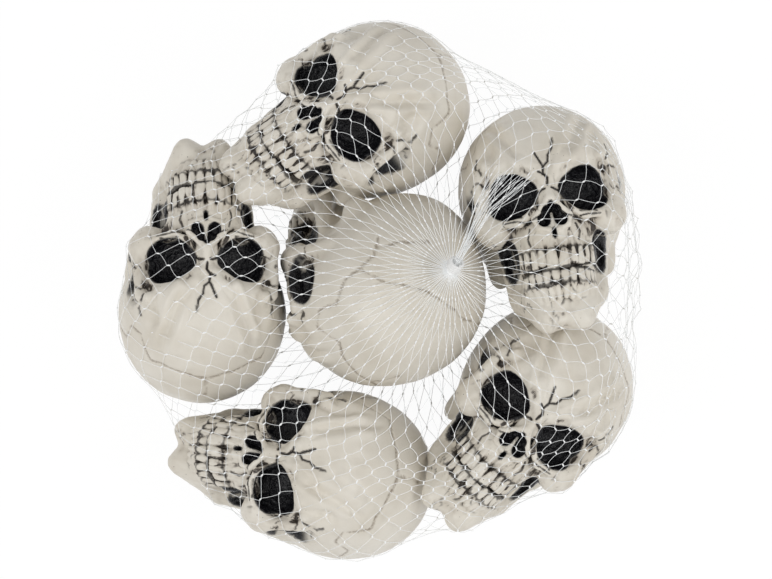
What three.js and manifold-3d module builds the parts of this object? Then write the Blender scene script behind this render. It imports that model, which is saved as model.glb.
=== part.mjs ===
// Halloween skull set: six hollow one-piece skulls lying in a knotless net sleeve that is tied at both
// ends. Millimetres, +Z up. The origin is under the middle of the bag, on the surface it lies on.
import * as THREE from "three";
import { ConvexHull } from "three/addons/math/ConvexHull.js";
import { mergeVertices } from "three/addons/utils/BufferGeometryUtils.js";
import Module from "manifold-3d";

const wasm = await Module();
wasm.setup();

const degree = Math.PI / 180;
const turn = 2 * Math.PI;

// A skull's own frame has its face towards -Y, its crown towards +Z and the middle of its vault at the
// origin. In its sizes, out is measured sideways, forward towards the face and up towards the crown.
// Each lump is an egg: where its middle lies, its half sizes, and how softly it blends into the rest.
const vault = { out: 0, forward: 0, up: 0, halfWidth: 37.8, halfLength: 43, halfHeight: 38.7, blend: 6 };
const occiput = { out: 0, forward: -5, up: -15, halfWidth: 31, halfLength: 35, halfHeight: 32, blend: 9 };
const forehead = { out: 0, forward: 17, up: 2, halfWidth: 31, halfLength: 27, halfHeight: 28, blend: 8 };
const browSwell = { out: 15, forward: 35, up: 6, halfWidth: 11, halfLength: 9, halfHeight: 6, blend: 5 };
const cheek = { out: 26, forward: 31.5, up: -17, halfWidth: 8.5, halfLength: 8.5, halfHeight: 6.5, blend: 4 };
const muzzle = { out: 0, forward: 31, up: -29, halfWidth: 18, halfLength: 17.5, halfHeight: 15, blend: 6 };
const lowerGum = { out: 0, forward: 31, up: -51, halfWidth: 16.5, halfLength: 14, halfHeight: 9, blend: 5 };
const throat = { out: 0, forward: 22, up: -38, halfWidth: 19, halfLength: 12, halfHeight: 14, blend: 5 };
const chinLump = { out: 6, forward: 36.5, up: -63.5, halfWidth: 8, halfLength: 7, halfHeight: 7, blend: 4 };

// Each bar is a round rod between two places.
const brow = {
  from: { out: 5, forward: 44, up: -3 },
  to: { out: 25, forward: 34, up: 3 },
  radius: 3.8,
  blend: 4,
};
const outerRim = {
  from: { out: 26.5, forward: 33, up: 1 },
  to: { out: 27, forward: 34.5, up: -15 },
  radius: 3.2,
  blend: 3,
};
const cheekArch = {
  from: { out: 30, forward: 31, up: -17 },
  to: { out: 31.5, forward: 9, up: -17 },
  radius: 3.6,
  blend: 3,
};
const noseBridge = {
  from: { out: 0, forward: 41, up: -5 },
  to: { out: 0, forward: 47, up: -15 },
  radius: 4.2,
  blend: 4,
};
const jawBranch = {
  from: { out: 21.5, forward: 20, up: -26 },
  to: { out: 19, forward: 20, up: -51 },
  radius: 3.8,
  blend: 4,
};
const jawBody = {
  from: { out: 18, forward: 21, up: -53 },
  to: { out: 8, forward: 36, up: -63 },
  radius: 5.2,
  blend: 4,
};

// The hollows of the face, cut after everything else is joined.
const templeHollow = { out: 37, forward: 24, up: -5, halfWidth: 9, halfLength: 7.5, halfHeight: 10, blend: 3 };
const eyeSocket = { out: 15.3, forward: 45, up: -8.2, halfWidth: 11, halfLength: 13, halfHeight: 10, blend: 1.5 };
const noseLobe = { out: 2.9, forward: 50, up: -21.5, halfWidth: 3.2, halfLength: 6, halfHeight: 3.6, blend: 1 };
const nosePeak = { out: 0, forward: 50, up: -17.5, halfWidth: 2.6, halfLength: 6, halfHeight: 4.5, blend: 1 };
const jawHollow = { out: 20.5, forward: 37, up: -33, halfWidth: 3.6, halfLength: 11, halfHeight: 9, blend: 1.5 };

const joinedLumps = [occiput, forehead, browSwell, cheek, muzzle, throat, lowerGum, chinLump];
const bars = [brow, outerRim, cheekArch, noseBridge, jawBranch, jawBody];
const hollows = [templeHollow, eyeSocket, noseLobe, nosePeak, jawHollow];

// The teeth are two scalloped rows on the front of the mouth, one closed on the other.
const upperTeeth = {
  count: 10,
  halfWidth: 17,
  front: 50.6,
  middle: 32,
  top: -34.4,
  height: 8.4,
  bulge: 0.9,
  depth: 7,
};
const lowerTeeth = {
  count: 10,
  halfWidth: 15.5,
  front: 48.4,
  middle: 32,
  top: -43.4,
  height: 6.4,
  bulge: 0.8,
  depth: 7,
};
const toothRowSpan = 75 * degree;

// The shell: its wall, and the blowing hole in the middle of its base.
const wall = 2.4;
const blowHole = { radius: 3, forward: -4, up: -53, depth: 30 };

// How the skull's outer and inner surfaces are laid out round a core point inside it.
const core = { forward: 10, up: -16 };
const surfaceReach = 110;
const tracingStep = 0.35;
const tracingSlack = 0.05;
const facePoleDrop = 18 * degree;
const faceRings = 11;
const faceRingStep = 4.9 * degree;
const backRingAngles = [62, 73, 86, 101, 119, 142].map((angle) => angle * degree);
const outerSegments = 34;
const innerSegments = 12;
const innerRings = 7;

// How each skull lies, seen from above: roll turns it in the plane of the bag, pitch lifts its crown
// towards the viewer, yaw turns its face to the viewer's right. Bearing is the side of the middle skull
// that it is drawn up against, anticlockwise from +X, and loose is how far it has slid back from there.
// Lift is how far its neighbours hold it up off the net.
const middlePose = { name: "skull_middle", roll: 186.5, pitch: 27.5, yaw: 120, lift: 3.2 };
const ringPoses = [
  { name: "skull_top", roll: -55, pitch: 12.5, yaw: -14.5, bearing: 92.5, loose: 0, lift: 7.8 },
  { name: "skull_left", roll: 183.5, pitch: 22.5, yaw: -8, bearing: 185.5, loose: 0, lift: 0 },
  { name: "skull_low_left", roll: -93.5, pitch: 30.5, yaw: -13, bearing: -104.5, loose: 4.2, lift: 0 },
  { name: "skull_right", roll: 7.5, pitch: -9.5, yaw: 0, bearing: 36, loose: 0, lift: 0 },
  { name: "skull_low_right", roll: -43.5, pitch: 9.5, yaw: 3, bearing: -29.5, loose: 0, lift: 2.6 },
];
const skullGap = 0.3;
const farOut = 160;

// The net sleeve, as a coarse mesh of flat strands with the real bag's outer form.
const net = {
  thickness: 0.8,
  strandWidth: 1.5,
  clearance: 0.5,
  standOff: 2.6,
  columns: 24,
  bodyRows: 15,
  neckRadius: 2.6,
};
const strandShare = 0.36;
const bottomGather = { across: 12, along: -1, floorRadius: 13, endRadius: 4.2, endHeight: 9 };
const topGather = { across: 24.5, along: 11.5, coneRadius: 13, rise: 3, neckLength: 8 };
const tail = { length: 44, bearing: 57, endRadius: 10, flatShare: 0.4 };
const slack = { beyond: 5, along: 2, up: 42, reach: 54, radius: 12 };
const tie = { wall: 1.7, height: 4, clearance: 0.35, lean: 48 };

const ivory = new THREE.MeshStandardMaterial({ color: 0xd9d3c2, roughness: 0.45, metalness: 0 });
const netWhite = new THREE.MeshStandardMaterial({ color: 0xeef0ee, roughness: 0.35, metalness: 0 });
const tieWhite = new THREE.MeshStandardMaterial({ color: 0xf2f2ef, roughness: 0.3, metalness: 0 });

// Distance from a place in the skull's frame to an egg-shaped lump, nearly exact close to its surface.
function eggDistance(out, forward, up, lump) {
  const a = out - lump.out;
  const b = forward - lump.forward;
  const c = up - lump.up;
  const p = a / lump.halfWidth;
  const q = b / lump.halfLength;
  const r = c / lump.halfHeight;
  const level = Math.sqrt(p * p + q * q + r * r);
  const slope = Math.sqrt((p / lump.halfWidth) ** 2 + (q / lump.halfLength) ** 2 + (r / lump.halfHeight) ** 2);
  const smallest = Math.min(lump.halfWidth, lump.halfLength, lump.halfHeight);
  return slope > 0 ? (level * (level - 1)) / slope : -smallest;
}

function barDistance(out, forward, up, bar) {
  const { from, to, radius } = bar;
  const ax = to.out - from.out;
  const ay = to.forward - from.forward;
  const az = to.up - from.up;
  const px = out - from.out;
  const py = forward - from.forward;
  const pz = up - from.up;
  const along = (px * ax + py * ay + pz * az) / (ax * ax + ay * ay + az * az);
  const share = Math.min(1, Math.max(0, along));
  return Math.hypot(px - ax * share, py - ay * share, pz - az * share) - radius;
}

// The smaller of two distances, with the corner between them rounded over the width of the blend.
function softMin(a, b, blend) {
  const near = Math.max(blend - Math.abs(a - b), 0);
  return Math.min(a, b) - (near * near) / (4 * blend);
}

// Distance from a place in the skull's frame to its outer surface, negative inside.
function skullDistance(x, y, z) {
  const out = Math.abs(x);
  const forward = -y;
  let distance = eggDistance(out, forward, z, vault);
  for (const lump of joinedLumps) {
    distance = softMin(distance, eggDistance(out, forward, z, lump), lump.blend);
  }
  for (const bar of bars) {
    distance = softMin(distance, barDistance(out, forward, z, bar), bar.blend);
  }
  for (const hollow of hollows) {
    distance = -softMin(-distance, eggDistance(out, forward, z, hollow), hollow.blend);
  }
  return distance;
}

// Distance to the half round that a row of teeth fills, negative inside.
function archDistance(out, forward, up, row) {
  const depth = row.front - row.middle;
  const level = Math.hypot(out / row.halfWidth, Math.max(forward - row.middle, 0) / depth);
  const around = Math.max((level - 1) * Math.min(row.halfWidth, depth), row.middle - forward);
  const above = Math.max(up - row.top, row.top - row.height - up);
  return around > 0 && above > 0 ? Math.hypot(around, above) : Math.max(around, above);
}

// A closed surface round the core, given how far it reaches in each direction. Its rings lie round a
// pole that points at the mouth, so the face is the finest part.
function radialGeometry(ringAngles, segments, reachOf) {
  const pole = new THREE.Vector3(0, -Math.cos(facePoleDrop), -Math.sin(facePoleDrop));
  const side = new THREE.Vector3(1, 0, 0);
  const rise = new THREE.Vector3().crossVectors(pole, side);
  const centre = new THREE.Vector3(0, -core.forward, core.up);
  const positions = [];
  const addPoint = (ringAngle, segmentAngle) => {
    const direction = pole.clone().multiplyScalar(Math.cos(ringAngle));
    direction.addScaledVector(side, Math.sin(ringAngle) * Math.cos(segmentAngle));
    direction.addScaledVector(rise, Math.sin(ringAngle) * Math.sin(segmentAngle));
    positions.push(...direction.multiplyScalar(reachOf(direction)).add(centre).toArray());
  };
  addPoint(0, 0);
  for (const ringAngle of ringAngles) {
    for (let segment = 0; segment < segments; segment += 1) {
      addPoint(ringAngle, (segment / segments) * turn);
    }
  }
  addPoint(Math.PI, 0);
  const last = positions.length / 3 - 1;
  const at = (ring, segment) => 1 + ring * segments + (segment % segments);
  const index = [];
  for (let segment = 0; segment < segments; segment += 1) {
    index.push(0, at(0, segment), at(0, segment + 1));
    for (let ring = 0; ring + 1 < ringAngles.length; ring += 1) {
      index.push(at(ring, segment), at(ring + 1, segment), at(ring, segment + 1));
      index.push(at(ring, segment + 1), at(ring + 1, segment), at(ring + 1, segment + 1));
    }
    index.push(last, at(ringAngles.length - 1, segment + 1), at(ringAngles.length - 1, segment));
  }
  const geometry = new THREE.BufferGeometry();
  geometry.setAttribute("position", new THREE.Float32BufferAttribute(positions, 3));
  geometry.setIndex(index);
  return geometry;
}

// How far the outer surface lies from the core in a direction, traced from outside inwards.
function outerReach(direction) {
  let reach = surfaceReach;
  while (reach > tracingStep) {
    const distance = skullDistance(
      direction.x * reach,
      direction.y * reach - core.forward,
      direction.z * reach + core.up,
    );
    if (distance < tracingSlack) break;
    reach -= Math.max(distance, tracingStep) * (1 - tracingSlack / tracingStep);
  }
  return reach;
}

// How far a ray may go from the core and still leave the whole wall in front of it.
function innerReach(direction) {
  let reach = 0;
  let room = -skullDistance(0, -core.forward, core.up) - wall;
  while (room > tracingSlack && reach < surfaceReach) {
    reach += Math.max(room, tracingStep) * (1 - tracingSlack / tracingStep);
    room =
      -skullDistance(
        direction.x * reach,
        direction.y * reach - core.forward,
        direction.z * reach + core.up,
      ) - wall;
  }
  return reach;
}

// The cavity's reach in a direction: the least of the reaches close round it, so that its flat facets
// never come through a hollow of the face.
function cavityReach(direction) {
  const spread = Math.PI / innerSegments;
  const across = new THREE.Vector3(direction.z, direction.x, direction.y).cross(direction).normalize();
  const along = new THREE.Vector3().crossVectors(direction, across);
  let least = innerReach(direction);
  for (const radiusShare of [0.5, 1]) {
    for (let step = 0; step < 8; step += 1) {
      const angle = (step / 8) * turn;
      const near = direction.clone();
      near.addScaledVector(across, Math.tan(spread * radiusShare) * Math.cos(angle));
      near.addScaledVector(along, Math.tan(spread * radiusShare) * Math.sin(angle));
      least = Math.min(least, innerReach(near.normalize()));
    }
  }
  return least;
}

function solidOf(geometry) {
  const bare = geometry.clone();
  bare.deleteAttribute("normal");
  bare.deleteAttribute("uv");
  const merged = mergeVertices(bare);
  return new wasm.Manifold(
    new wasm.Mesh({
      numProp: 3,
      vertProperties: merged.attributes.position.array,
      triVerts: new Uint32Array(merged.index.array),
    }),
  );
}

function geometryOf(solid) {
  const mesh = solid.getMesh();
  const geometry = new THREE.BufferGeometry();
  geometry.setAttribute("position", new THREE.Float32BufferAttribute(mesh.vertProperties, 3));
  geometry.setIndex(new THREE.Uint32BufferAttribute(mesh.triVerts, 1));
  return geometry;
}

// One row of teeth: an arch with a bulge for each tooth and a notch between neighbours.
function toothRowGeometry(row) {
  const length = row.front - row.middle;
  const place = (angle, inset) =>
    new THREE.Vector2(
      (row.halfWidth - inset) * Math.sin(angle),
      -row.middle - (length - inset) * Math.cos(angle),
    );
  const outline = [];
  for (let step = 0; step <= 2 * row.count; step += 1) {
    const angle = (step / row.count - 1) * toothRowSpan;
    outline.push(place(angle, step % 2 === 1 ? 0 : row.bulge));
  }
  const innerSteps = 4;
  for (let step = innerSteps; step >= 0; step -= 1) {
    outline.push(place(((2 * step) / innerSteps - 1) * toothRowSpan, row.depth));
  }
  const geometry = new THREE.ExtrudeGeometry(new THREE.Shape(outline), {
    depth: row.height,
    bevelEnabled: false,
  });
  return geometry.translate(0, 0, row.top - row.height);
}

function skullGeometry() {
  const faceAngles = Array.from({ length: faceRings }, (_, ring) => (ring + 1) * faceRingStep);
  const outer = radialGeometry([...faceAngles, ...backRingAngles], outerSegments, outerReach);
  const innerAngles = Array.from(
    { length: innerRings },
    (_, ring) => ((ring + 1) / (innerRings + 1)) * Math.PI,
  );
  const inner = radialGeometry(innerAngles, innerSegments, cavityReach);
  const hole = new THREE.CylinderGeometry(blowHole.radius, blowHole.radius, blowHole.depth, 12);
  hole.rotateX(Math.PI / 2);
  hole.translate(0, -blowHole.forward, blowHole.up + blowHole.depth / 2);
  let skull = solidOf(outer);
  for (const row of [upperTeeth, lowerTeeth]) {
    skull = skull.add(solidOf(toothRowGeometry(row)));
  }
  return geometryOf(skull.subtract(solidOf(inner)).subtract(solidOf(hole)));
}

// A skull's turn from its own frame: face up and crown towards +Y first, then yaw, pitch and roll.
function turnOf(pose) {
  const matrix = new THREE.Matrix4().makeRotationZ(pose.roll * degree);
  matrix.multiply(new THREE.Matrix4().makeRotationX(pose.pitch * degree));
  matrix.multiply(new THREE.Matrix4().makeRotationY(pose.yaw * degree));
  matrix.multiply(new THREE.Matrix4().makeRotationX(-Math.PI / 2));
  return matrix;
}

// The places that stand for a skull's surface when it is drawn up against another: corners and the
// middles of its facets.
function surfacePoints(geometry) {
  const position = geometry.attributes.position;
  const index = geometry.index;
  const points = [];
  for (let i = 0; i < position.count; i += 1) {
    points.push(new THREE.Vector3().fromBufferAttribute(position, i));
  }
  for (let i = 0; i < index.count; i += 3) {
    const middle = points[index.getX(i)].clone();
    middle.add(points[index.getX(i + 1)]).add(points[index.getX(i + 2)]);
    points.push(middle.divideScalar(3));
  }
  return points;
}

// Distance from a place in the bag to a laid skull, rough when it is far away.
function distanceToSkull(point, skull) {
  const local = point.clone().sub(skull.position);
  const beyond = local.length() - skull.reach;
  if (beyond > skullGap + wall) return beyond;
  local.applyMatrix4(skull.back);
  const teeth = [upperTeeth, lowerTeeth].map((row) => archDistance(local.x, -local.y, local.z, row));
  return Math.min(skullDistance(local.x, local.y, local.z), ...teeth);
}

function gapBetween(a, b) {
  let least = farOut;
  for (const [from, to] of [
    [a, b],
    [b, a],
  ]) {
    for (const point of from.points) {
      least = Math.min(least, distanceToSkull(point.clone().add(from.position), to));
    }
  }
  return least;
}

// Lays a turned skull on the net, with its lowest place just clear of the strands.
function laySkull(pose, points) {
  const matrix = turnOf(pose);
  const turned = points.map((point) => point.clone().applyMatrix4(matrix));
  const lowest = Math.min(...turned.map((point) => point.z));
  const reach = Math.max(...turned.map((point) => point.length()));
  return {
    name: pose.name,
    matrix,
    back: matrix.clone().transpose(),
    points: turned,
    reach,
    position: new THREE.Vector3(0, 0, net.thickness + net.clearance + pose.lift - lowest),
  };
}

// The ring's skulls are drawn in along their bearings, as the net draws them, until each touches.
function laySkulls(points) {
  const laid = [laySkull(middlePose, points)];
  for (const pose of ringPoses) {
    const skull = laySkull(pose, points);
    const heading = new THREE.Vector3(Math.cos(pose.bearing * degree), Math.sin(pose.bearing * degree), 0);
    const height = skull.position.z;
    let away = farOut;
    let spare = away;
    while (spare > tracingSlack) {
      skull.position.copy(heading).multiplyScalar(away).setZ(height);
      spare = Math.min(...laid.map((other) => gapBetween(skull, other))) - skullGap;
      away -= Math.max(spare, 0);
    }
    skull.position.addScaledVector(heading, pose.loose);
    laid.push(skull);
  }
  return laid;
}

const skullShape = skullGeometry();
const laid = laySkulls(surfacePoints(skullShape));

// The net is drawn over the skulls and over its own slack, which stands off them on the loose side.
function heldPoints() {
  const points = laid.flatMap((skull) => skull.points.map((point) => point.clone().add(skull.position)));
  const outermost = Math.max(...points.map((point) => point.x)) + slack.beyond;
  for (const sideShare of [-1, 0, 1]) {
    const middle = new THREE.Vector3(outermost, slack.along + sideShare * slack.reach, slack.up);
    middle.x -= Math.abs(sideShare) * slack.radius;
    for (const lift of [-slack.radius, slack.radius]) {
      points.push(middle.clone().setZ(slack.up + lift));
    }
  }
  return points;
}

const held = heldPoints();
const hull = new ConvexHull().setFromPoints(held);
const floorLevel = net.thickness / 2;

// The sleeve's lines are spread evenly round the middle of the bag, though its gathers lie to one side.
const heldBox = new THREE.Box3().setFromPoints(held);
const spread = {
  middle: heldBox.getCenter(new THREE.Vector3()),
  radius: Math.max(...heldBox.getSize(new THREE.Vector3()).toArray()) / 2,
};

// Where a ray from inside the bag leaves the hull.
function hullPoint(origin, direction) {
  return hull.intersectRay(new THREE.Ray(origin, direction), new THREE.Vector3());
}

// One line of the sleeve from its lower gather to its upper one, as places at equal steps along the
// hull. Its bearing is the one at which the sleeve crosses the middle height of the bag.
function bodyLine(bearing) {
  const fineSteps = 72;
  const places = [];
  const aimAcross = spread.middle.x + spread.radius * Math.cos(bearing);
  const aimAlong = spread.middle.y + spread.radius * Math.sin(bearing);
  for (let step = 0; step <= fineSteps; step += 1) {
    const share = step / fineSteps;
    const angle = share * Math.PI;
    const ease = share * share * (3 - 2 * share);
    const origin = new THREE.Vector3(
      bottomGather.across + (topGather.across - bottomGather.across) * ease,
      bottomGather.along + (topGather.along - bottomGather.along) * ease,
      slack.up,
    );
    const direction = new THREE.Vector3(aimAcross - origin.x, aimAlong - origin.y, 0);
    direction.setLength(Math.sin(angle)).setZ(-Math.cos(angle));
    const place = hullPoint(origin, direction);
    place.addScaledVector(direction, net.standOff);
    place.z = Math.max(place.z, floorLevel);
    places.push({ place, fromBottom: place.distanceTo(places.length ? places[0].place : place) });
  }
  const top = places[fineSteps].place;
  const kept = places.filter(
    ({ place, fromBottom }) => fromBottom > bottomGather.floorRadius && place.distanceTo(top) > topGather.coneRadius,
  );
  const lengths = [0];
  for (let i = 1; i < kept.length; i += 1) {
    lengths.push(lengths[i - 1] + kept[i].place.distanceTo(kept[i - 1].place));
  }
  const total = lengths[lengths.length - 1];
  return Array.from({ length: net.bodyRows }, (_, row) => {
    const wanted = (row / (net.bodyRows - 1)) * total;
    const next = Math.max(1, lengths.findIndex((length) => length >= wanted));
    const share = (wanted - lengths[next - 1]) / (lengths[next] - lengths[next - 1]);
    const place = kept[next - 1].place.clone().lerp(kept[next].place, share);
    if (place.z < floorLevel + net.strandWidth) place.z = floorLevel;
    return place;
  });
}

const hubTop = hullPoint(
  new THREE.Vector3(topGather.across, topGather.along, slack.up),
  new THREE.Vector3(0, 0, 1),
);
const tieLean = new THREE.Vector3(
  Math.sin(tie.lean * degree) * Math.cos(tail.bearing * degree),
  Math.sin(tie.lean * degree) * Math.sin(tail.bearing * degree),
  Math.cos(tie.lean * degree),
);
const hubNeck = hubTop.clone().add(new THREE.Vector3(0, 0, net.standOff + topGather.rise));

// A ring of the gathers and the tail: its middle, the way the sleeve runs through it, and its two radii.
function gatherRings() {
  const upright = new THREE.Vector3(0, 0, 1);
  const bottom = (height) => new THREE.Vector3(bottomGather.across, bottomGather.along, height);
  const start = floorLevel + net.thickness;
  const lower = [
    { middle: bottom(bottomGather.endHeight), axis: upright, wide: bottomGather.endRadius },
    { middle: bottom(start + net.thickness + tie.height), axis: upright, wide: net.neckRadius },
    { middle: bottom(start), axis: upright, wide: net.neckRadius },
    { middle: bottom(floorLevel), axis: upright, wide: net.neckRadius + tie.wall + tie.clearance },
  ];
  const neckEnd = hubNeck.clone().addScaledVector(tieLean, topGather.neckLength);
  const tailWay = new THREE.Vector3(
    Math.cos(tail.bearing * degree),
    Math.sin(tail.bearing * degree),
    0,
  );
  const upper = [
    { middle: hubNeck, axis: tieLean, wide: net.neckRadius },
    { middle: neckEnd, axis: tieLean, wide: net.neckRadius },
  ];
  const tailSteps = 2;
  for (let step = 1; step <= tailSteps; step += 1) {
    const share = step / tailSteps;
    const wide = net.neckRadius + (tail.endRadius - net.neckRadius) * share;
    const flat = 1 - (1 - tail.flatShare) * share;
    const middle = neckEnd.clone().addScaledVector(tailWay, tail.length * share);
    const under = hullPoint(middle.clone().setZ(slack.up), new THREE.Vector3(0, 0, 1));
    middle.z = under.z + net.standOff + net.thickness + wide * flat;
    upper.push({ middle, axis: tailWay, wide, flat });
  }
  return { lower, upper };
}

function ringPlace(ring, bearing) {
  const across = new THREE.Vector3(1, 0, 0).addScaledVector(ring.axis, -ring.axis.x).normalize();
  const along = new THREE.Vector3().crossVectors(ring.axis, across);
  const place = ring.middle.clone().addScaledVector(across, ring.wide * Math.cos(bearing));
  place.addScaledVector(along, ring.wide * Math.sin(bearing));
  place.z = ring.middle.z + (place.z - ring.middle.z) * (ring.flat ?? 1);
  return place;
}

// The crossings of the net, row by row from the lower end of the sleeve to the end of its tail.
function netCrossings(lower, upper) {
  const rowCount = lower.length + net.bodyRows + upper.length;
  const rows = Array.from({ length: rowCount }, () => []);
  const bearingOf = (row, column) => ((column + (row % 2) / 2) / net.columns) * turn;
  for (let halfStep = 0; halfStep < 2 * net.columns; halfStep += 1) {
    const line = bodyLine((halfStep / (2 * net.columns)) * turn);
    const column = Math.floor(halfStep / 2);
    line.forEach((place, bodyRow) => {
      const row = lower.length + bodyRow;
      if (row % 2 === halfStep % 2) rows[row][column] = place;
    });
  }
  lower.forEach((ring, row) => {
    for (let column = 0; column < net.columns; column += 1) {
      rows[row][column] = ringPlace(ring, bearingOf(row, column));
    }
  });
  upper.forEach((ring, upperRow) => {
    const row = lower.length + net.bodyRows + upperRow;
    for (let column = 0; column < net.columns; column += 1) {
      rows[row][column] = ringPlace(ring, bearingOf(row, column));
    }
  });
  return rows;
}

// Where the strand that leaves a crossing upwards to one side arrives: the row above, shifted by half a
// column.
function nextCrossing(row, column, side) {
  const shift = row % 2 === 0 ? side - 1 : side;
  return [row + 1, (column + shift + net.columns) % net.columns];
}

// Moves crossings outwards until no strand comes nearer to a skull than the clearance allows.
function easeOffSkulls(rows, firstRow) {
  const wanted = net.thickness / 2 + net.clearance;
  const samples = 9;
  const middle = new THREE.Vector3(0, 0, slack.up);
  for (let pass = 0; pass < 40; pass += 1) {
    const pushes = rows.map((line) => line.map(() => new THREE.Vector3()));
    let worst = 0;
    for (let row = firstRow; row + 1 < rows.length; row += 1) {
      for (let column = 0; column < net.columns; column += 1) {
        for (const side of [0, 1]) {
          const [nextRow, nextColumn] = nextCrossing(row, column, side);
          const a = rows[row][column];
          const b = rows[nextRow][nextColumn];
          for (let sample = 0; sample <= samples; sample += 1) {
            const place = a.clone().lerp(b, sample / samples);
            const short = wanted - Math.min(...laid.map((skull) => distanceToSkull(place, skull)));
            if (short <= 0 || place.z <= floorLevel + tracingSlack) continue;
            worst = Math.max(worst, short);
            const push = place.clone().sub(middle);
            if (place.z < slack.up) push.setZ(0);
            push.setLength(short + tracingSlack);
            for (const held of [pushes[row][column], pushes[nextRow][nextColumn]]) {
              if (push.length() > held.length()) held.copy(push);
            }
          }
        }
      }
    }
    if (worst === 0) break;
    rows.forEach((line, row) => {
      line.forEach((place, column) => {
        place.add(pushes[row][column]);
        place.z = Math.max(place.z, floorLevel);
      });
    });
  }
}

// The sleeve as one closed body. Each crossing is a small pad, flat outside and pointed inside, and each
// strand is a three-sided bar from one pad to the next.
function netGeometry() {
  const { lower, upper } = gatherRings();
  const floorRow = lower.length - 1;
  const rows = netCrossings(lower, upper);
  easeOffSkulls(rows, floorRow);
  const positions = [];
  const index = [];
  const corners = rows.map((line, row) =>
    line.map((place, column) => {
      const previous = rows[row][(column + net.columns - 1) % net.columns];
      const following = rows[row][(column + 1) % net.columns];
      const pitch = previous.distanceTo(following) / 2;
      const sideways = following.clone().sub(previous).normalize();
      const above = row + 1 < rows.length ? rows[row + 1] : line;
      const below = row > 0 ? rows[row - 1] : line;
      const nearest = (other) => {
        const shift = other === line ? 0 : row % 2 === 0 ? -1 : 0;
        const first = other[(column + shift + net.columns) % net.columns];
        const second = other[(column + shift + 1 + net.columns) % net.columns];
        return other === line ? place : first.clone().add(second).divideScalar(2);
      };
      const upwards = nearest(above).clone().sub(nearest(below));
      const outwards = new THREE.Vector3().crossVectors(sideways, upwards).normalize();
      const onFloor = row >= floorRow && place.z <= floorLevel + tracingSlack;
      if (onFloor) outwards.set(0, 0, -1);
      sideways.addScaledVector(outwards, -sideways.dot(outwards)).normalize();
      const lengthways = new THREE.Vector3().crossVectors(outwards, sideways).normalize();
      const reach = Math.min(net.strandWidth, strandShare * pitch);
      const thick = Math.min(net.thickness, 2 * strandShare * net.neckRadius) / 2;
      const base = positions.length / 3;
      for (const [a, b] of [
        [1, 0],
        [0, 1],
        [-1, 0],
        [0, -1],
      ]) {
        const corner = place.clone().addScaledVector(outwards, thick);
        corner.addScaledVector(sideways, a * reach).addScaledVector(lengthways, b * reach);
        positions.push(...corner.toArray());
      }
      positions.push(...place.clone().addScaledVector(outwards, -thick).toArray());
      return base;
    }),
  );
  const right = 0;
  const top = 1;
  const left = 2;
  const bottom = 3;
  const inner = 4;
  const quad = (a, b, c, d) => index.push(a, b, c, a, c, d);
  corners.forEach((line, row) => {
    line.forEach((base, column) => {
      quad(base + right, base + top, base + left, base + bottom);
      if (row === 0) {
        index.push(base + left, base + inner, base + bottom, base + bottom, base + inner, base + right);
      }
      if (row === corners.length - 1) {
        index.push(base + right, base + inner, base + top, base + top, base + inner, base + left);
        return;
      }
      const [rightRow, rightColumn] = nextCrossing(row, column, 1);
      const [leftRow, leftColumn] = nextCrossing(row, column, 0);
      const strand = (nearA, nearB, far, farA, farB) => {
        quad(base + nearA, far + farA, far + farB, base + nearB);
        quad(base + nearA, base + inner, far + inner, far + farA);
        quad(base + inner, base + nearB, far + farB, far + inner);
      };
      strand(right, top, corners[rightRow][rightColumn], bottom, left);
      strand(top, left, corners[leftRow][leftColumn], right, bottom);
    });
  });
  const geometry = new THREE.BufferGeometry();
  geometry.setAttribute("position", new THREE.Float32BufferAttribute(positions, 3));
  geometry.setIndex(index);
  return geometry;
}

// A tie is a plain round ring with rounded edges, drawn round the neck of the sleeve.
function tieGeometry() {
  const inner = net.neckRadius + net.thickness / 2 + tie.clearance;
  const middle = inner + tie.wall / 2;
  const profile = [];
  const steps = 8;
  for (let step = 0; step <= steps; step += 1) {
    const angle = ((step % steps) / steps) * turn;
    profile.push(
      new THREE.Vector2(
        middle + (tie.wall / 2) * Math.cos(angle),
        (tie.height / 2) * Math.sin(angle),
      ),
    );
  }
  return new THREE.LatheGeometry(profile, 18).rotateX(Math.PI / 2);
}

function namedMesh(name, geometry, material) {
  const mesh = new THREE.Mesh(geometry, material);
  mesh.name = name;
  return mesh;
}

const bag = new THREE.Group();

for (const skull of laid) {
  const mesh = namedMesh(skull.name, skullShape, ivory);
  mesh.quaternion.setFromRotationMatrix(skull.matrix);
  mesh.position.copy(skull.position);
  bag.add(mesh);
}

bag.add(namedMesh("net_bag", netGeometry(), netWhite));

const topTie = namedMesh("top_tie", tieGeometry(), tieWhite);
topTie.position.copy(hubNeck).addScaledVector(tieLean, topGather.neckLength - tie.height / 2 - net.thickness);
topTie.quaternion.setFromUnitVectors(new THREE.Vector3(0, 0, 1), tieLean);
bag.add(topTie);

const bottomTie = namedMesh("bottom_tie", tieGeometry(), tieWhite);
bottomTie.position.set(
  bottomGather.across,
  bottomGather.along,
  floorLevel + net.thickness + (net.thickness + tie.height) / 2,
);
bag.add(bottomTie);

// The group is shifted so that the origin is under the middle of the bag, on the floor.
const box = new THREE.Box3().setFromObject(bag, true);
const centre = box.getCenter(new THREE.Vector3());
bag.children.forEach((mesh) => {
  mesh.position.x -= centre.x;
  mesh.position.y -= centre.y;
  mesh.position.z -= box.min.z;
});

export default bag;
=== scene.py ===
"""Six hollow skulls in a white net bag that is tied at both ends, lying on a white table.

Run as a script. Everything is built in metres in the part's frame. The tables that the skull and the net
are modelled from, and the functions that work on them, are in millimetres of the real object.
"""

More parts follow.
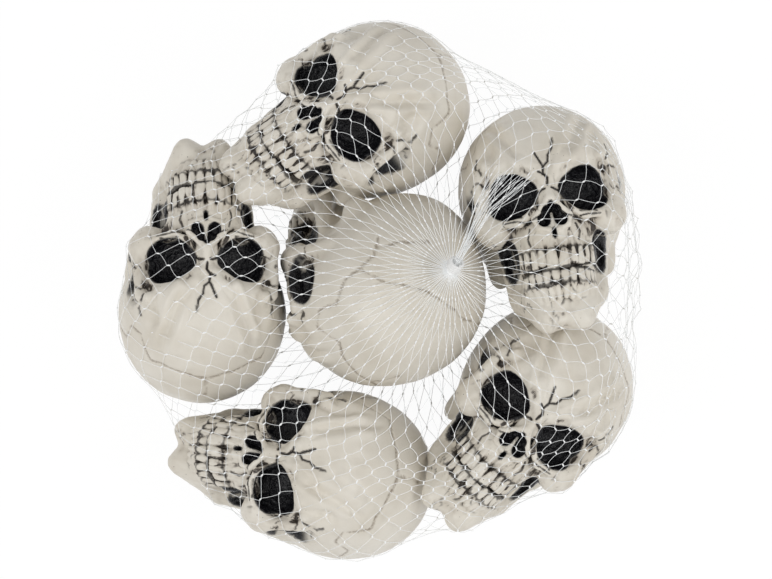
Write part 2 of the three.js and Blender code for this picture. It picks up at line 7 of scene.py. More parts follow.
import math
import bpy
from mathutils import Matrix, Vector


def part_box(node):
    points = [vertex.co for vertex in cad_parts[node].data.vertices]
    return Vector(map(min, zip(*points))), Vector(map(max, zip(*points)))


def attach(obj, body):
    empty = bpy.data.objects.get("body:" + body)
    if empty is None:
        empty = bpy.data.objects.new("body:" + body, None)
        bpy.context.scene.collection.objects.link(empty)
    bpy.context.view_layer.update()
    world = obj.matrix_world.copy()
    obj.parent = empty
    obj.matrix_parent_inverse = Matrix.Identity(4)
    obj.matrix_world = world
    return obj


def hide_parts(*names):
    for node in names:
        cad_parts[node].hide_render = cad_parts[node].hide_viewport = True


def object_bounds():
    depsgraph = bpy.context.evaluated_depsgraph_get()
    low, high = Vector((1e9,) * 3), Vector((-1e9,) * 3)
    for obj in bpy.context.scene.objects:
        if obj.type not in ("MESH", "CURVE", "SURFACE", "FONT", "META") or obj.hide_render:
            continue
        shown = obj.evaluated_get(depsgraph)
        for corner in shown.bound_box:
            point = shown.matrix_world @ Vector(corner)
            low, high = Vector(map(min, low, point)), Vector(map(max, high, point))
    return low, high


bl_info = {
    "name": "Bag of skulls",
    "version": (1, 0, 0),
    "blender": (4, 5, 0),
    "location": "3D View > Sidebar > Skull bag",
    "description": "Dresses the packed skull bag: moulded skulls, net, ties and a plain stage",
    "category": "Object",
}

import bmesh
import bpy
import numpy as np
import openvdb
from bpy.props import FloatProperty, FloatVectorProperty, IntProperty, PointerProperty
from bpy.types import Operator, Panel, PropertyGroup
from mathutils import Color, Vector
from mathutils.bvhtree import BVHTree

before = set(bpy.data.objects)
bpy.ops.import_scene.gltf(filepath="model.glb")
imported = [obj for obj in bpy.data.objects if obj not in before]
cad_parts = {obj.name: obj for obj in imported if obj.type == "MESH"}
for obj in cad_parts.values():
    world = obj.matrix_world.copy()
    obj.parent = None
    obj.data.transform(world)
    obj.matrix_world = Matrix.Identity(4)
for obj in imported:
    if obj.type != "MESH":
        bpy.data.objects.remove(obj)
CAD_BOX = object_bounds()

MM = 0.001
BODY = "root"

# How each skull lies, in degrees: roll in the plane of the bag, pitch of the crown towards the viewer,
# and yaw of the face to the viewer's right.
POSES = {
    "skull_middle": (186.5, 27.5, 120),
    "skull_top": (-55, 12.5, -14.5),
    "skull_left": (183.5, 22.5, -8),
    "skull_low_left": (-93.5, 30.5, -13),
    "skull_right": (7.5, -9.5, 0),
    "skull_low_right": (-43.5, 9.5, 3),
}

# The skull's own frame: x sideways, forward towards the face, up towards the crown, with the middle of
# the vault at the origin. Eggs have a middle, three half sizes and a blend; bars have two ends, a radius
# at each and a blend. Everything here is on the side of positive x and is mirrored.
VAULT = ((0, 0, 0), (37.8, 43.0, 38.7), 6)
BONES = (
    ((0, -5, -15), (31, 35, 32), 9),  # base of the vault
    ((0, 17, 2), (31, 27, 28), 8),  # forehead
    ((15, 35, 6), (11, 9, 6), 5),  # swelling over the socket
    ((24.6, 32.5, -21.4), (8.1, 8.2, 8.2), 4),  # cheekbone
    ((0, 31, -29), (18, 17.5, 15), 6),  # upper jaw
    ((0, 31, -51), (16.5, 14, 9), 5),  # lower jaw
    ((0, 22, -38), (19, 12, 14), 5),  # filling behind the teeth
    ((0, 33, -59), (13, 9, 9), 5),  # chin
    ((5.3, 36.3, -63), (7.5, 6, 6), 3.5),  # each half of the chin
    ((7.2, 38.5, -66), (4.6, 4.2, 4.2), 2),  # its lower corner
    ((24, 0, -34), (5, 6, 8), 4),  # knob behind the jaw
)
BARS = (
    ((0, 41, -5), (0, 44, -14), 4.0, 4.6, 4),  # root of the nose
    ((29.5, 31, -21), (31.2, 9, -18.5), 3.8, 3.2, 3),  # arch from the cheekbone back
    ((21.2, 20, -26), (18.2, 20.5, -50), 3.6, 3.8, 4),  # rising branch of the jaw
    ((15.8, 22, -54), (7.8, 36, -62.5), 5.0, 5.2, 5),  # edge of the jaw
)
# Hollows: the temple, the one behind the cheek, and the eye socket. Between the last two stands an egg that
# is not cut: it marks the painted shade under the cheekbone, painted black.
TEMPLE = ((37.1, 26.4, -6), (10.5, 7.5, 12.5), 1.6)
RECESS = ((19.8, 33.5, -36.6), (3.6, 12.5, 8.8), 1.0)
UNDER_CHEEK_SHADE = ((22.0, 24.5, -31.5), (4.2, 7.0, 4.0), 1.0)
EYE = ((15.0, 39.6, -9.5), (11.9, 9.4, 10.5), 1.0)
# Laid on after the eye sockets are cut: the slanting brow, the rims of the socket and the nasal bones.
BROWS = (
    ((2.4, 44.3, -2.8), (11.5, 43.6, 4.2), 3.3, 3.4, 2.2),
    ((11.5, 43.6, 4.7), (24.5, 36.6, 6.2), 3.1, 2.6, 2.5),
)
OUTER_RIM = ((29.1, 33.0, 3.5), (29.8, 33.4, -18), 2.5, 3.1, 3.6)
LOWER_RIMS = (
    ((4.6, 44.2, -9.0), (8.4, 45.4, -18.0), 0.9, 1.2, 1.2),
    ((8.4, 45.4, -18.2), (14.5, 44.2, -21.4), 1.3, 1.6, 1.8),
    ((14.5, 44.2, -21.4), (22.5, 40.2, -20.4), 1.6, 1.8, 2.0),
)
NOSE_BRIDGE = ((0, 44.6, -6.0), (0, 48.0, -12.6), 2.3, 2.3, 1.6)
NOSE_RIMS = (
    ((1.4, 48.4, -13.4), (7.6, 47.4, -21.0), 1.2, 1.2, 1.0),
    ((7.6, 47.4, -21.0), (6.6, 47.6, -25.2), 1.2, 1.1, 1.0),
    ((6.6, 47.6, -25.2), (2.0, 48.6, -26.8), 1.1, 1.0, 1.2),
)
# The heart-shaped opening of the nose, the slit under it, the wall between its halves, and two grooves.
NOSE = (
    ((3.8, 49, -22.0), (2.9, 6, 3.1), 0.5),
    ((1.9, 49, -18.9), (2.6, 6, 3.2), 0.5),
    ((0, 49, -16.8), (1.5, 6, 2.6), 0.5),
)
SLIT = ((0, 49.2, -28.3), (0.95, 3.4, 2.2), 0.5)
SEPTUM = ((0, 48.2, -25.8), (0, 44.6, -19.0), 0.6, 0.35, 0.4)
TEAR_GROOVE = ((4.3, 46.6, -8.8), (9.4, 47.6, -18.6), 0.8, 0.6, 0.6)
CHIN_GROOVE = ((0, 43.5, -70), (0, 44.5, -58), 2.2, 1.6, 3)
# In the base of the skull, where the mould was blown.
BLOW_HOLE = {"radius": 3.0, "forward": -4.0, "top": -28.0}
# The block of clay that the half skull is modelled in.
CLAY_BOX = ((0, -52, -74), (42, 54, 42))

# Teeth stand on an arch, as (width, height, lift) from the middle outwards; lift raises a tooth's root.
UPPER_ARCH = {"half_width": 17.2, "front": 49.9, "middle": 32.0, "gum": -35.2, "depth": 6.5}
LOWER_ARCH = {"half_width": 15.8, "front": 48.2, "middle": 32.0, "gum": -50.2, "depth": 6.0}
UPPER_TEETH = (
    (5.4, 9.2, 0.0), (3.8, 7.7, 0.3), (3.9, 8.6, 0.5), (4.2, 7.8, 0.6), (4.4, 7.4, 0.8), (4.6, 7.0, 1.0),
)
LOWER_TEETH = (
    (4.0, 5.9, 0.0), (3.8, 7.3, -0.3), (4.1, 6.6, -0.4), (4.2, 6.9, -0.4), (4.4, 6.7, -0.5), (4.4, 6.5, -0.5),
)
BITE = -44.5


def turn_of(pose):
    """The 3x3 turn of a skull from its own frame to the part's frame."""
    roll, pitch, yaw = (math.radians(angle) for angle in pose)

    def about(axis, angle):
        c, s = math.cos(angle), math.sin(angle)
        i, j = [(1, 2), (2, 0), (0, 1)][axis]
        matrix = np.eye(3)
        matrix[i, i] = matrix[j, j] = c
        matrix[i, j], matrix[j, i] = -s, s
        return matrix

    return about(2, roll) @ about(0, pitch) @ about(1, yaw) @ about(0, -math.pi / 2)


def soft_min(a, b, blend):
    """The smaller of two distances, with the corner between them rounded."""
    near = np.maximum(blend - np.abs(a - b), 0)
    return np.minimum(a, b) - near * near / (4 * blend)


def egg_level(place, egg, power=1):
    """1 on the surface of an egg, less inside it and more outside; with a power of 2, the slope's size."""
    return np.sqrt(sum(((p - middle) / half**power) ** 2 for p, middle, half in zip(place, *egg[:2])))


def egg_distance(place, egg):
    """Distance from an egg, below zero inside it, and true only near its surface."""
    level = egg_level(place, egg)
    return level * (level - 1) / np.maximum(egg_level(place, egg, 2), 1e-6)


def bar_distance(place, bar):
    """Distance from a bar with round ends, below zero inside it."""
    start, end, near_radius, far_radius, _ = bar
    way = [b - a for a, b in zip(start, end)]
    along = sum((p - a) * w for p, a, w in zip(place, start, way))
    share = np.clip(along / sum(w * w for w in way), 0, 1)
    gap = np.sqrt(sum((p - a - share * w) ** 2 for p, a, w in zip(place, start, way)))
    return gap - near_radius - share * (far_radius - near_radius)


def cell_corners(share):
    """The eight corners of a grid's cell, each with its weight at given places inside the cell."""
    for corner in range(8):
        offset = np.array([(corner >> bit) & 1 for bit in range(3)])
        yield offset, np.prod(np.where(offset, share, 1 - share), axis=-1)


class Clay:
    """A block of clay as signed distances on a grid, in millimetres and negative inside."""

    FAR = 30.0

    def __init__(self, low, high, step):
        self.low = np.array(low, np.float32)
        self.step = step
        counts = np.ceil((np.array(high) - self.low) / step).astype(int) + 1
        self.axes = [self.low[i] + step * np.arange(counts[i], dtype=np.float32) for i in range(3)]
        self.field = np.full(counts, self.FAR, np.float32)

    def window(self, low, high):
        """Slices of the grid between two corners, with the coordinates there."""
        picks = tuple(slice(*np.searchsorted(axis, (a, b))) for axis, a, b in zip(self.axes, low, high))
        return picks, np.ix_(*(axis[pick] for axis, pick in zip(self.axes, picks)))

    def around(self, form, margin):
        """The window round an egg or a bar."""
        first, second, *radii, blend = form
        reach = margin + blend
        if radii:
            reach += max(radii)
            pairs = [(min(pair) - reach, max(pair) + reach) for pair in zip(first, second)]
        else:
            pairs = [(middle - half - reach, middle + half + reach) for middle, half in zip(first, second)]
        return self.window(*zip(*pairs))

    def join(self, picks, distance, blend):
        self.field[picks] = soft_min(self.field[picks], distance, blend)

    def cut(self, picks, distance, blend):
        self.field[picks] = -soft_min(-self.field[picks], distance, blend)

    def shape(self, change, forms, margin=3):
        """Joins eggs and bars to the clay, or cuts them out of it, one after the other."""
        for form in forms:
            picks, place = self.around(form, margin)
            distance = (egg_distance if len(form) == 3 else bar_distance)(place, form)
            change(picks, distance, form[-1])

    def sample(self, points):
        """The distance at any points, by straight interpolation."""
        place = (points - self.low) / self.step
        place = np.clip(place, 0, np.array(self.field.shape) - 1.001)
        base = place.astype(int)
        total = np.zeros(len(points), np.float32)
        for offset, weight in cell_corners(place - base):
            total += weight * self.field[tuple((base + offset).T)]
        return total


def arch_place(arch, distance):
    """Where the front of a tooth arch is, a given way along it from the middle, and its outward turn."""
    half_width, middle = arch["half_width"], arch["middle"]
    depth = arch["front"] - middle
    angles = np.linspace(0, math.radians(88), 60)
    xs, fs = half_width * np.sin(angles), middle + depth * np.cos(angles)
    along = np.concatenate([[0], np.cumsum(np.hypot(np.diff(xs), np.diff(fs)))])
    angle = np.interp(distance, along, angles)
    normal = np.array([math.sin(angle) / half_width, math.cos(angle) / depth])
    return half_width * math.sin(angle), middle + depth * math.cos(angle), normal / np.linalg.norm(normal)


class Tooth:
    """One tooth on its arch: where it stands and how its outline runs."""

    REACH = 9
    CORNER = 1.9
    ROOT_LENGTHS = {1: 7.5, -1: 6.0}

    def __init__(self, arch, along, size, upper, wobble):
        self.width, self.height, lift = size
        self.side = math.copysign(1, along)
        self.x, self.f, self.normal = arch_place(arch, abs(along))
        self.depth = arch["depth"]
        self.way = 1 if upper else -1
        self.gum = arch["gum"] + lift
        self.middle = self.gum - self.way * self.height / 2
        self.place = np.array([self.side * self.x, self.f, self.middle])
        self.lean = 0.08 * wobble
        self.stand = 0.35 * wobble

    def outline(self, x, f, u):
        """Distance to its outline seen from the front, place outwards and down, and share across."""
        a, b = (x - self.side * self.x) * self.side, f - self.f
        across = a * self.normal[1] - b * self.normal[0] + self.lean * (u - self.middle)
        outward = a * self.normal[0] + b * self.normal[1] - self.stand
        down = (self.gum - u) * self.way / self.height
        half = self.width / 2 * (0.78 + 0.22 * np.clip(down / 0.7, 0, 1))
        corner = np.minimum(half * 0.9, self.CORNER - 1.0 * np.clip(down, 0, 1))
        q = np.abs(across) - half + corner
        r = np.abs(u - self.middle) - self.height / 2 + corner
        flat = np.hypot(np.maximum(q, 0), np.maximum(r, 0)) + np.minimum(np.maximum(q, r), 0) - corner
        return flat, outward, down, across / half

    def add_to(self, clay):
        """Adds the tooth and the faint ridge of its root."""
        picks, place = clay.window(self.place - self.REACH, self.place + self.REACH)
        flat, outward, down, across = self.outline(*place)
        belly = 0.7 * (1 - 0.75 * np.minimum(across**2, 1.5)) * np.clip(1 - ((down - 0.5) / 0.8) ** 2, 0, 1)
        slab = np.maximum(outward - belly, -self.depth - outward)
        clay.join(picks, (-soft_min(-flat, -slab, 0.9)).astype(np.float32), 0.3)
        x, f = self.normal
        neck = (self.side * (self.x - 1.3 * x), self.f - 1.3 * f, self.gum + 0.4 * self.way)
        root_end = self.gum + self.way * self.ROOT_LENGTHS[self.way]
        root = (self.side * (self.x - 3.6 * x) * 0.97, self.f - 3.2 * f, root_end)
        clay.shape(clay.join, [(neck, root, 1.4, 0.9, 1.7)])


def tooth_rows():
    """All teeth of both arches, each a little uneven."""
    rng = np.random.default_rng(11)
    teeth = []
    for arch, sizes, upper in ((UPPER_ARCH, UPPER_TEETH, True), (LOWER_ARCH, LOWER_TEETH, False)):
        for side in (1, -1):
            along = 0.0
            for width, height, lift in sizes:
                wobble = rng.uniform(-1, 1)
                size = (width * rng.uniform(0.95, 1.03), height + 0.35 * wobble, lift)
                teeth.append(Tooth(arch, side * (along + width / 2), size, upper, wobble))
                along += width
    return teeth


def model_skull(step):
    """The whole skull in clay, at a given grid step: one half, its mirror image, and then the teeth."""
    half = Clay(*CLAY_BOX, step)
    picks, place = half.window(CLAY_BOX[0], [side + 1 for side in CLAY_BOX[1]])
    half.field[picks] = egg_distance(place, VAULT)
    half.shape(half.join, BONES, 6)
    half.shape(half.join, BARS)
    half.shape(half.cut, (TEMPLE, RECESS, EYE))
    half.shape(half.join, (*BROWS, OUTER_RIM, *LOWER_RIMS, NOSE_BRIDGE, *NOSE_RIMS))
    half.shape(half.cut, (TEAR_GROOVE, *NOSE, SLIT))
    half.shape(half.join, (SEPTUM,))
    half.shape(half.cut, (CHIN_GROOVE,))
    whole = Clay(*CLAY_BOX, step)
    whole.field = np.concatenate([half.field[:0:-1], half.field])
    whole.low[0] = -step * (half.field.shape[0] - 1)
    whole.axes[0] = whole.low[0] + step * np.arange(whole.field.shape[0], dtype=np.float32)
    for tooth in tooth_rows():
        tooth.add_to(whole)
    forward, top = BLOW_HOLE["forward"], BLOW_HOLE["top"]
    picks, (x, f, u) = whole.window((-6, forward - 6, -60), (6, forward + 6, top + 2))
    bore = np.maximum(np.hypot(x, f - forward) - BLOW_HOLE["radius"], u - top)
    whole.cut(picks, bore, 0.8)
    return whole


def line_distance(points, line):
    """Distance of points, in any number of dimensions, from a chain of straight stretches."""
    nearest = np.full(len(points), np.inf, np.float32)
    for start, end in zip(line[:-1], line[1:]):
        start = np.array(start, np.float32)
        way = np.array(end, np.float32) - start
        share = np.clip((points - start) @ way / (way @ way), 0, 1)
        gap = np.linalg.norm(points - start - share[:, None] * way, axis=1)
        nearest = np.minimum(nearest, gap)
    return nearest


def unit(ways):
    """Ways of any length, each made one long."""
    return ways / np.maximum(np.linalg.norm(ways, axis=-1, keepdims=True), 1e-6)


def smooth_step(low, high, value):
    """0 up to one value and 1 from another on, with a smooth rise between them."""
    share = np.clip((value - low) / (high - low), 0, 1)
    return share * share * (3 - 2 * share)


def value_noise(points, size, seed):
    """Smooth noise from -1 to 1 that changes over a given size in millimetres."""
    place = points / size + 100.0 + seed * 7.31
    base = np.floor(place).astype(np.int64)
    share = place - base
    total = np.zeros(len(points))
    for offset, weight in cell_corners(share * share * (3 - 2 * share)):
        cell = base + offset
        key = cell[:, 0] * 73856093 ^ cell[:, 1] * 19349663 ^ cell[:, 2] * 83492791 ^ seed * 2654435761
        key = (key ^ (key >> 13)) * 1274126177 & 0xFFFFFFFF
        key = (key ^ (key >> 16)) & 0xFFFF
        total += weight * (key / 32767.5 - 1)
    return total


# Lines of the face seen from the front, as (across, up) in millimetres: down its middle, and on each side.
MIDDLE_CRACKS = (
    ((-4.2, -9.3), (-2.7, -8.3), (-1.6, -8.1)),
    ((1.5, -7.9), (2.9, -8.4), (4.4, -9.3)),
    ((-0.2, -6.5), (0.3, -3.4), (-1.2, -1.2), (-0.9, 2.0), (-2.2, 5.2), (-3.8, 9.0)),
    ((-0.9, 2.0), (1.6, 4.0), (2.0, 7.2), (4.2, 10.2), (4.8, 14.5)),
    ((-1.2, -1.2), (-3.2, -0.2)),
)
SIDE_CRACKS = (
    ((26.5, -1.5), (29.5, 1.0), (31.5, 0.0)),
    ((28.0, 3.5), (29.2, 8.0), (28.3, 11.5)),
    ((6.0, -20.3), (11.0, -22.0), (16.0, -21.0), (21.5, -21.2)),
    ((13.0, -19.2), (17.5, -19.0), (20.0, -20.0)),
    ((30.5, -8.5), (33.0, -10.5)),
    ((10.0, -24.5), (11.5, -28.5), (10.5, -32.0)),
)
# Folds of the forehead on each side, each with its height and its width.
FOLDS = (
    (((7.5, 0.4), (9.6, 1.8), (13.0, 9.4), (16.7, 18.0), (20.6, 25.6)), -1.3, 1.8),
    (((12.0, 4.5), (18.0, 12.3), (22.0, 21.0)), 1.7, 2.4),
    (((22.0, 16.0), (23.7, 6.6), (27.0, -1.0)), -1.3, 1.7),
    (((4.5, 3.0), (7.5, 10.0), (11.0, 18.0), (15.5, 26.0)), 1.5, 2.6),
    (((26.0, 4.5), (28.0, 11.0), (26.0, 19.0)), 1.3, 2.2),
    (((0.0, 8.0), (0.5, 18.0), (3.0, 26.0)), -0.6, 2.8),
)
# Seams of the vault on the unit sphere round its middle, as (longitude, latitude) in degrees; longitude 0
# is the face and 90 the side.
SEAMS = (
    (
        (115, -16), (110, -3), (100, 3), (89, 6), (80, 17), (75, 20), (60, 17), (51, 25), (59, 42), (47, 49),
        (28, 60), (13, 64), (0, 66),
    ),
    ((0, 66), (0, 78), (0, 88)),
    ((111, -8), (127, -10), (134, -9), (148, -9)),
    ((100, 3), (112, 14), (128, 20), (146, 24), (162, 30), (180, 34)),
)


def across_and_up(points):
    """Places seen from the front, and the same made wavy and folded over to one side."""
    x, _, u = points.T
    folded = [np.abs(x) + 0.8 * value_noise(points, 9, 3), u + 0.8 * value_noise(points, 9, 4)]
    return np.column_stack([x, u]), np.column_stack(folded)


def furrow(points, line, width):
    """1 on a line, falling off to the sides over a width."""
    return np.exp(-((line_distance(points, line) / width) ** 2))


def behind_face(f, u):
    """1 on the vault, where its seams show, and 0 on the face."""
    return smooth_step(27, 18, f - 0.3 * np.maximum(u, 0))


def shape_details(points, clay):
    """Moves the surface in and out for folds, cracks and the unevenness of a hand-made mould."""
    _, f, u = points.T
    normals = surface_normals(points, clay)
    front = smooth_step(0.15, 0.6, normals[:, 1])
    plain, folded = across_and_up(points)
    move = 0.34 * value_noise(points, 13, 1) + 0.14 * value_noise(points, 5.5, 2)
    rough = smooth_step(8, 24, f) * smooth_step(20, -6, u)
    move += rough * (0.17 * value_noise(points, 2.8, 5) + 0.09 * value_noise(points, 1.5, 6))
    jaw = smooth_step(14, 26, f) * smooth_step(-18, -30, u)
    move += jaw * 0.3 * value_noise(points * (1.3, 1, 0.8), 3.6, 7)
    move -= 0.35 * scratches(points)
    for line, height, width in FOLDS:
        move += front * height * furrow(folded, line, width)
    for line in MIDDLE_CRACKS:
        move -= front * 0.55 * furrow(plain, line, 0.55)
    for line in SIDE_CRACKS:
        move -= smooth_step(-0.1, 0.4, normals[:, 1]) * 0.5 * furrow(folded, line, 0.5)
    move -= 0.45 * np.exp(-((seam_distance(points) / 0.75) ** 2)) * behind_face(f, u)
    return points + normals * move[:, None]


def scratches(points):
    """Share of the short dark scratches round the eyes, on the cheeks and on the jaw."""
    x, f, u = points.T
    fine = smooth_step(0.08, 0.02, np.abs(value_noise(points * (1.3, 1, 0.8), 6.2, 41)))
    some = smooth_step(0.15, 0.42, value_noise(points, 5.2, 42))
    mouth = smooth_step(-31, -34, u) * smooth_step(-54, -51, u) * smooth_step(19, 17, np.abs(x))
    face = smooth_step(14, 24, f) * smooth_step(5, -9, u) * smooth_step(-72, -60, u)
    return fine * some * (1 - mouth) * face


def seam_distance(points):
    """Distance along the vault from its seams, in millimetres."""
    x, f, u = points.T
    radius = np.linalg.norm(points, axis=1)
    sphere = np.column_stack([np.abs(x), f, u]) / radius[:, None]
    wavy = sphere + 0.012 * np.column_stack([value_noise(points, 4, seed) for seed in (8, 9, 10)])
    nearest = np.full(len(points), np.inf)
    for seam in SEAMS:
        line = []
        for longitude, latitude in seam:
            east, north = math.radians(longitude), math.radians(latitude)
            line.append((math.sin(east) * math.cos(north), math.cos(east) * math.cos(north), math.sin(north)))
        nearest = np.minimum(nearest, line_distance(wavy, line))
    return nearest * radius


def surface_normals(points, clay):
    """Ways straight out of the clay at points on or near its surface."""
    slope = np.empty_like(points)
    for axis in range(3):
        offset = np.zeros(3, np.float32)
        offset[axis] = clay.step
        slope[:, axis] = clay.sample(points + offset) - clay.sample(points - offset)
    return unit(slope)


def tooth_edges(points):
    """Distance of points in the mouth from the outline of the nearest tooth, below zero inside it."""
    away = 9.0
    edge = np.full(len(points), away)
    for tooth in tooth_rows():
        near = np.all(np.abs(points - tooth.place) < (6, 7, 9), axis=1)
        flat, outward, _, _ = tooth.outline(*points[near].T)
        edge[near] = np.minimum(edge[near], np.where(outward > -3, flat, away))
    return edge


def off_bars(place, bars, near, facing):
    """0 on the forward side of some bars, which keep the plastic's colour, and 1 away from them."""
    share = 1.0
    for bar in bars:
        share = share * (1 - smooth_step(0.5, near, bar_distance(place, bar)) * facing)
    return share


def black_paint(points, normals, ragged):
    """Share of gloss black paint: in the sockets, the nose, the temples and the hollows behind the teeth, and
    black painted shade under each cheekbone.
    """
    x, f, u = points.T
    place = (np.abs(x), f, u)
    facing = normals[:, 1]
    turned = smooth_step(0.0, 0.3, facing)
    black = smooth_step(1.1, 1.055, egg_level(place, EYE) + 0.012 * ragged)
    black *= off_bars(place, BROWS, 0.1, turned)
    heart = np.full(len(points), 9.0)
    for middle, half, _ in NOSE:
        heart = np.minimum(heart, np.hypot((place[0] - middle[0]) / half[0], (u - middle[2]) / half[2]))
    heart = smooth_step(1.14, 1.02, heart + 0.03 * ragged) * smooth_step(39, 40, f)
    heart *= off_bars(place, NOSE_RIMS, 0.2, smooth_step(0.3, 0.6, facing))
    black = np.maximum(black, heart) * smooth_step(0.15, 0.5, bar_distance(place, SEPTUM))
    black = np.maximum(black, smooth_step(1.35, 1.1, egg_level(place, SLIT)))
    recess = egg_level(place, RECESS) + 0.07 * ragged - 0.13 * smooth_step(38, 33, f)
    streaks = smooth_step(-0.25, 0.2, value_noise(points * (1, 1, 0.45), 2.2, 34)) * smooth_step(28, 25, f)
    inner_wall = smooth_step(0.5, 0.8, normals[:, 0] * np.sign(x))
    recess = smooth_step(1.14, 1.03, recess) * (1 - 0.55 * streaks * inner_wall)
    # Painted shade: black under the cheekbone where no hollow is cut, on the side facing forward.
    corner = smooth_step(1.1, 0.95, egg_level(place, UNDER_CHEEK_SHADE) + 0.07 * ragged)
    recess = np.maximum(recess, corner * smooth_step(0.1, 0.4, facing))
    temple = smooth_step(1.14, 1.06, egg_level(place, TEMPLE) + 0.04 * ragged)
    temple *= 1 - smooth_step(-6, 0, u) * smooth_step(0.1, 0.4, facing)
    temple *= off_bars(place, [OUTER_RIM], 0.1, turned)
    return np.maximum(black, np.maximum(recess, temple))


def mouth_lines(points, mouth, edge, ragged):
    """Share of dark line in the bite, along the gums and between the teeth."""
    x, _, u = points.T
    patchy = 0.5 + 0.5 * smooth_step(-0.5, 0.35, value_noise(points, 3.2, 24))
    gum = np.min([np.abs(u - level) for level in (UPPER_ARCH["gum"], LOWER_ARCH["gum"], BITE)], axis=0)
    near = smooth_step(2.4, 0.9, gum + 0.5 * ragged)
    gap = smooth_step(0.4 + 0.3 * near, 0.1 + 0.15 * near, np.abs(edge) + 0.14 * ragged)
    gap *= np.maximum(patchy, 0.8 * near) * (0.25 + 0.6 * near) * (1 - 0.85 * smooth_step(-50.5, -52.5, u))
    bite = smooth_step(0.95, 0.45, np.abs(u - BITE + 1.1 * value_noise(points, 3.1, 23)) + 0.45 * ragged)
    row = np.abs(u - LOWER_ARCH["gum"] + 0.2 + 1.2 * value_noise(points, 2.6, 25)) + 0.5 * ragged
    row = smooth_step(1.0, 0.4, row) * smooth_step(-0.5, -0.1, value_noise(points, 5, 29))
    bite = np.maximum(bite, row * smooth_step(15, 11, np.abs(x))) * mouth
    return np.maximum(0.9 * bite, 0.95 * gap)


def face_lines(points, facing, ragged):
    """Share of dark line in the cracks and scratches of the face."""
    plain, folded = across_and_up(points)
    line = 0.85 * scratches(points)
    for crack in MIDDLE_CRACKS:
        line = np.maximum(line, smooth_step(0.75, 0.3, line_distance(plain, crack) + 0.2 * ragged))
    for crack in SIDE_CRACKS:
        line = np.maximum(line, 0.9 * smooth_step(0.6, 0.2, line_distance(folded, crack) + 0.4 * ragged))
    return line * smooth_step(0.0, 0.4, facing)


def brown_wash(points, clay, normals, mouth, edge, ragged):
    """Share of brown wash, which lies in the creases, round the teeth and the sockets, and in patches."""
    x, f, u = points.T
    place = (np.abs(x), f, u)
    crease, dip = (np.clip(1 - clay.sample(points + normals * reach) / reach, 0, 1) for reach in (0.8, 2.0))
    face = smooth_step(6, 22, f) * smooth_step(12, -6, u)
    wash = face * np.clip(1.7 * crease - 0.25, 0, 1) * (0.75 + 0.45 * ragged)
    wash += face * 0.55 * np.clip(1.4 * dip - 0.35, 0, 1)
    wash += mouth * 0.6 * np.clip(1.5 * crease - 0.2, 0, 1)
    wash += mouth * 0.4 * smooth_step(3.0, 0.3, edge) * smooth_step(-0.2, 0.2, edge) * (1 + ragged)
    wash += mouth * 0.45 * smooth_step(0.15, 0.7, value_noise(points * (1.6, 1, 0.6), 1.3, 26))
    patches = smooth_step(0.25, 0.8, value_noise(points * (1.4, 1, 0.7), 1.8, 27))
    wash += face * 0.3 * patches * smooth_step(2, -12, u)
    groove = smooth_step(0.9, 0.2, bar_distance(place, TEAR_GROOVE) + 0.4 * ragged)
    wash += 0.9 * groove * smooth_step(-0.2, 0.3, normals[:, 1])
    socket = smooth_step(1.17, 1.08, egg_level(place, EYE))
    wash += 0.5 * socket * face * smooth_step(-0.3, 0.5, value_noise(points, 4, 28))
    chin = smooth_step(0.25, 0.0, np.abs(u + 62.5) / 10)
    wash += chin * smooth_step(5, 2.5, place[0]) * smooth_step(36, 42, f) * 0.5
    above = smooth_step(-35.5, -33, u) * mouth
    below = smooth_step(-51.5, -53.5, u) * smooth_step(-63, -59, u) * smooth_step(18, 14, place[0])
    return np.minimum(wash * (1 - 0.55 * below), 1 - 0.5 * above)


def paint_masks(points, clay):
    """Shares of gloss black paint, brown wash, fine dark line, seam and specks on the surface."""
    _, f, u = points.T
    normals = surface_normals(points, clay)
    ragged = value_noise(points, 1.6, 21) * 0.6 + value_noise(points, 0.8, 22) * 0.4
    mouth = smooth_step(24, 32, f) * smooth_step(-24, -32, u) * smooth_step(-62, -55, u)
    edge = tooth_edges(points)
    black = black_paint(points, normals, ragged)
    wash = brown_wash(points, clay, normals, mouth, edge, ragged) * (1 - black)
    line = np.maximum(face_lines(points, normals[:, 1], ragged), mouth_lines(points, mouth, edge, ragged))
    seam = smooth_step(0.8, 0.25, seam_distance(points) + 0.4 * ragged) * behind_face(f, u)
    speck = smooth_step(4, 26, f) * smooth_step(26, -8, u) * (1 - black)
    return black, np.clip(wash, 0, 1), np.clip(line, 0, 1), seam, speck


def refined(points, quads, chosen):
    """A mesh of quads with each chosen one cut in four, and its neighbours' edges cut to match."""
    edges = np.stack([quads, np.roll(quads, -1, axis=1)], axis=2).astype(np.int64)
    keys = edges.min(axis=2) * len(points) + edges.max(axis=2)
    cut, first = np.unique(keys[chosen].ravel(), return_index=True)
    ends = edges[chosen].reshape(-1, 2)[first]
    split = np.isin(keys, cut)
    middles = len(points) + np.minimum(np.searchsorted(cut, keys), len(cut) - 1)
    centres = len(points) + len(cut) + np.arange(chosen.sum())
    corners, sides = quads[chosen], middles[chosen]
    faces = []
    for k in range(4):
        faces += np.column_stack([corners[:, k], sides[:, k], centres, sides[:, k - 1]]).tolist()
    faces += quads[~chosen & ~split.any(axis=1)].tolist()
    for row in np.nonzero(~chosen & split.any(axis=1))[0]:
        face = []
        for k in range(4):
            face.append(int(quads[row, k]))
            if split[row, k]:
                face.append(int(middles[row, k]))
        faces.append(face)
    return np.concatenate([points, points[ends].mean(axis=1), points[corners].mean(axis=1)]), faces


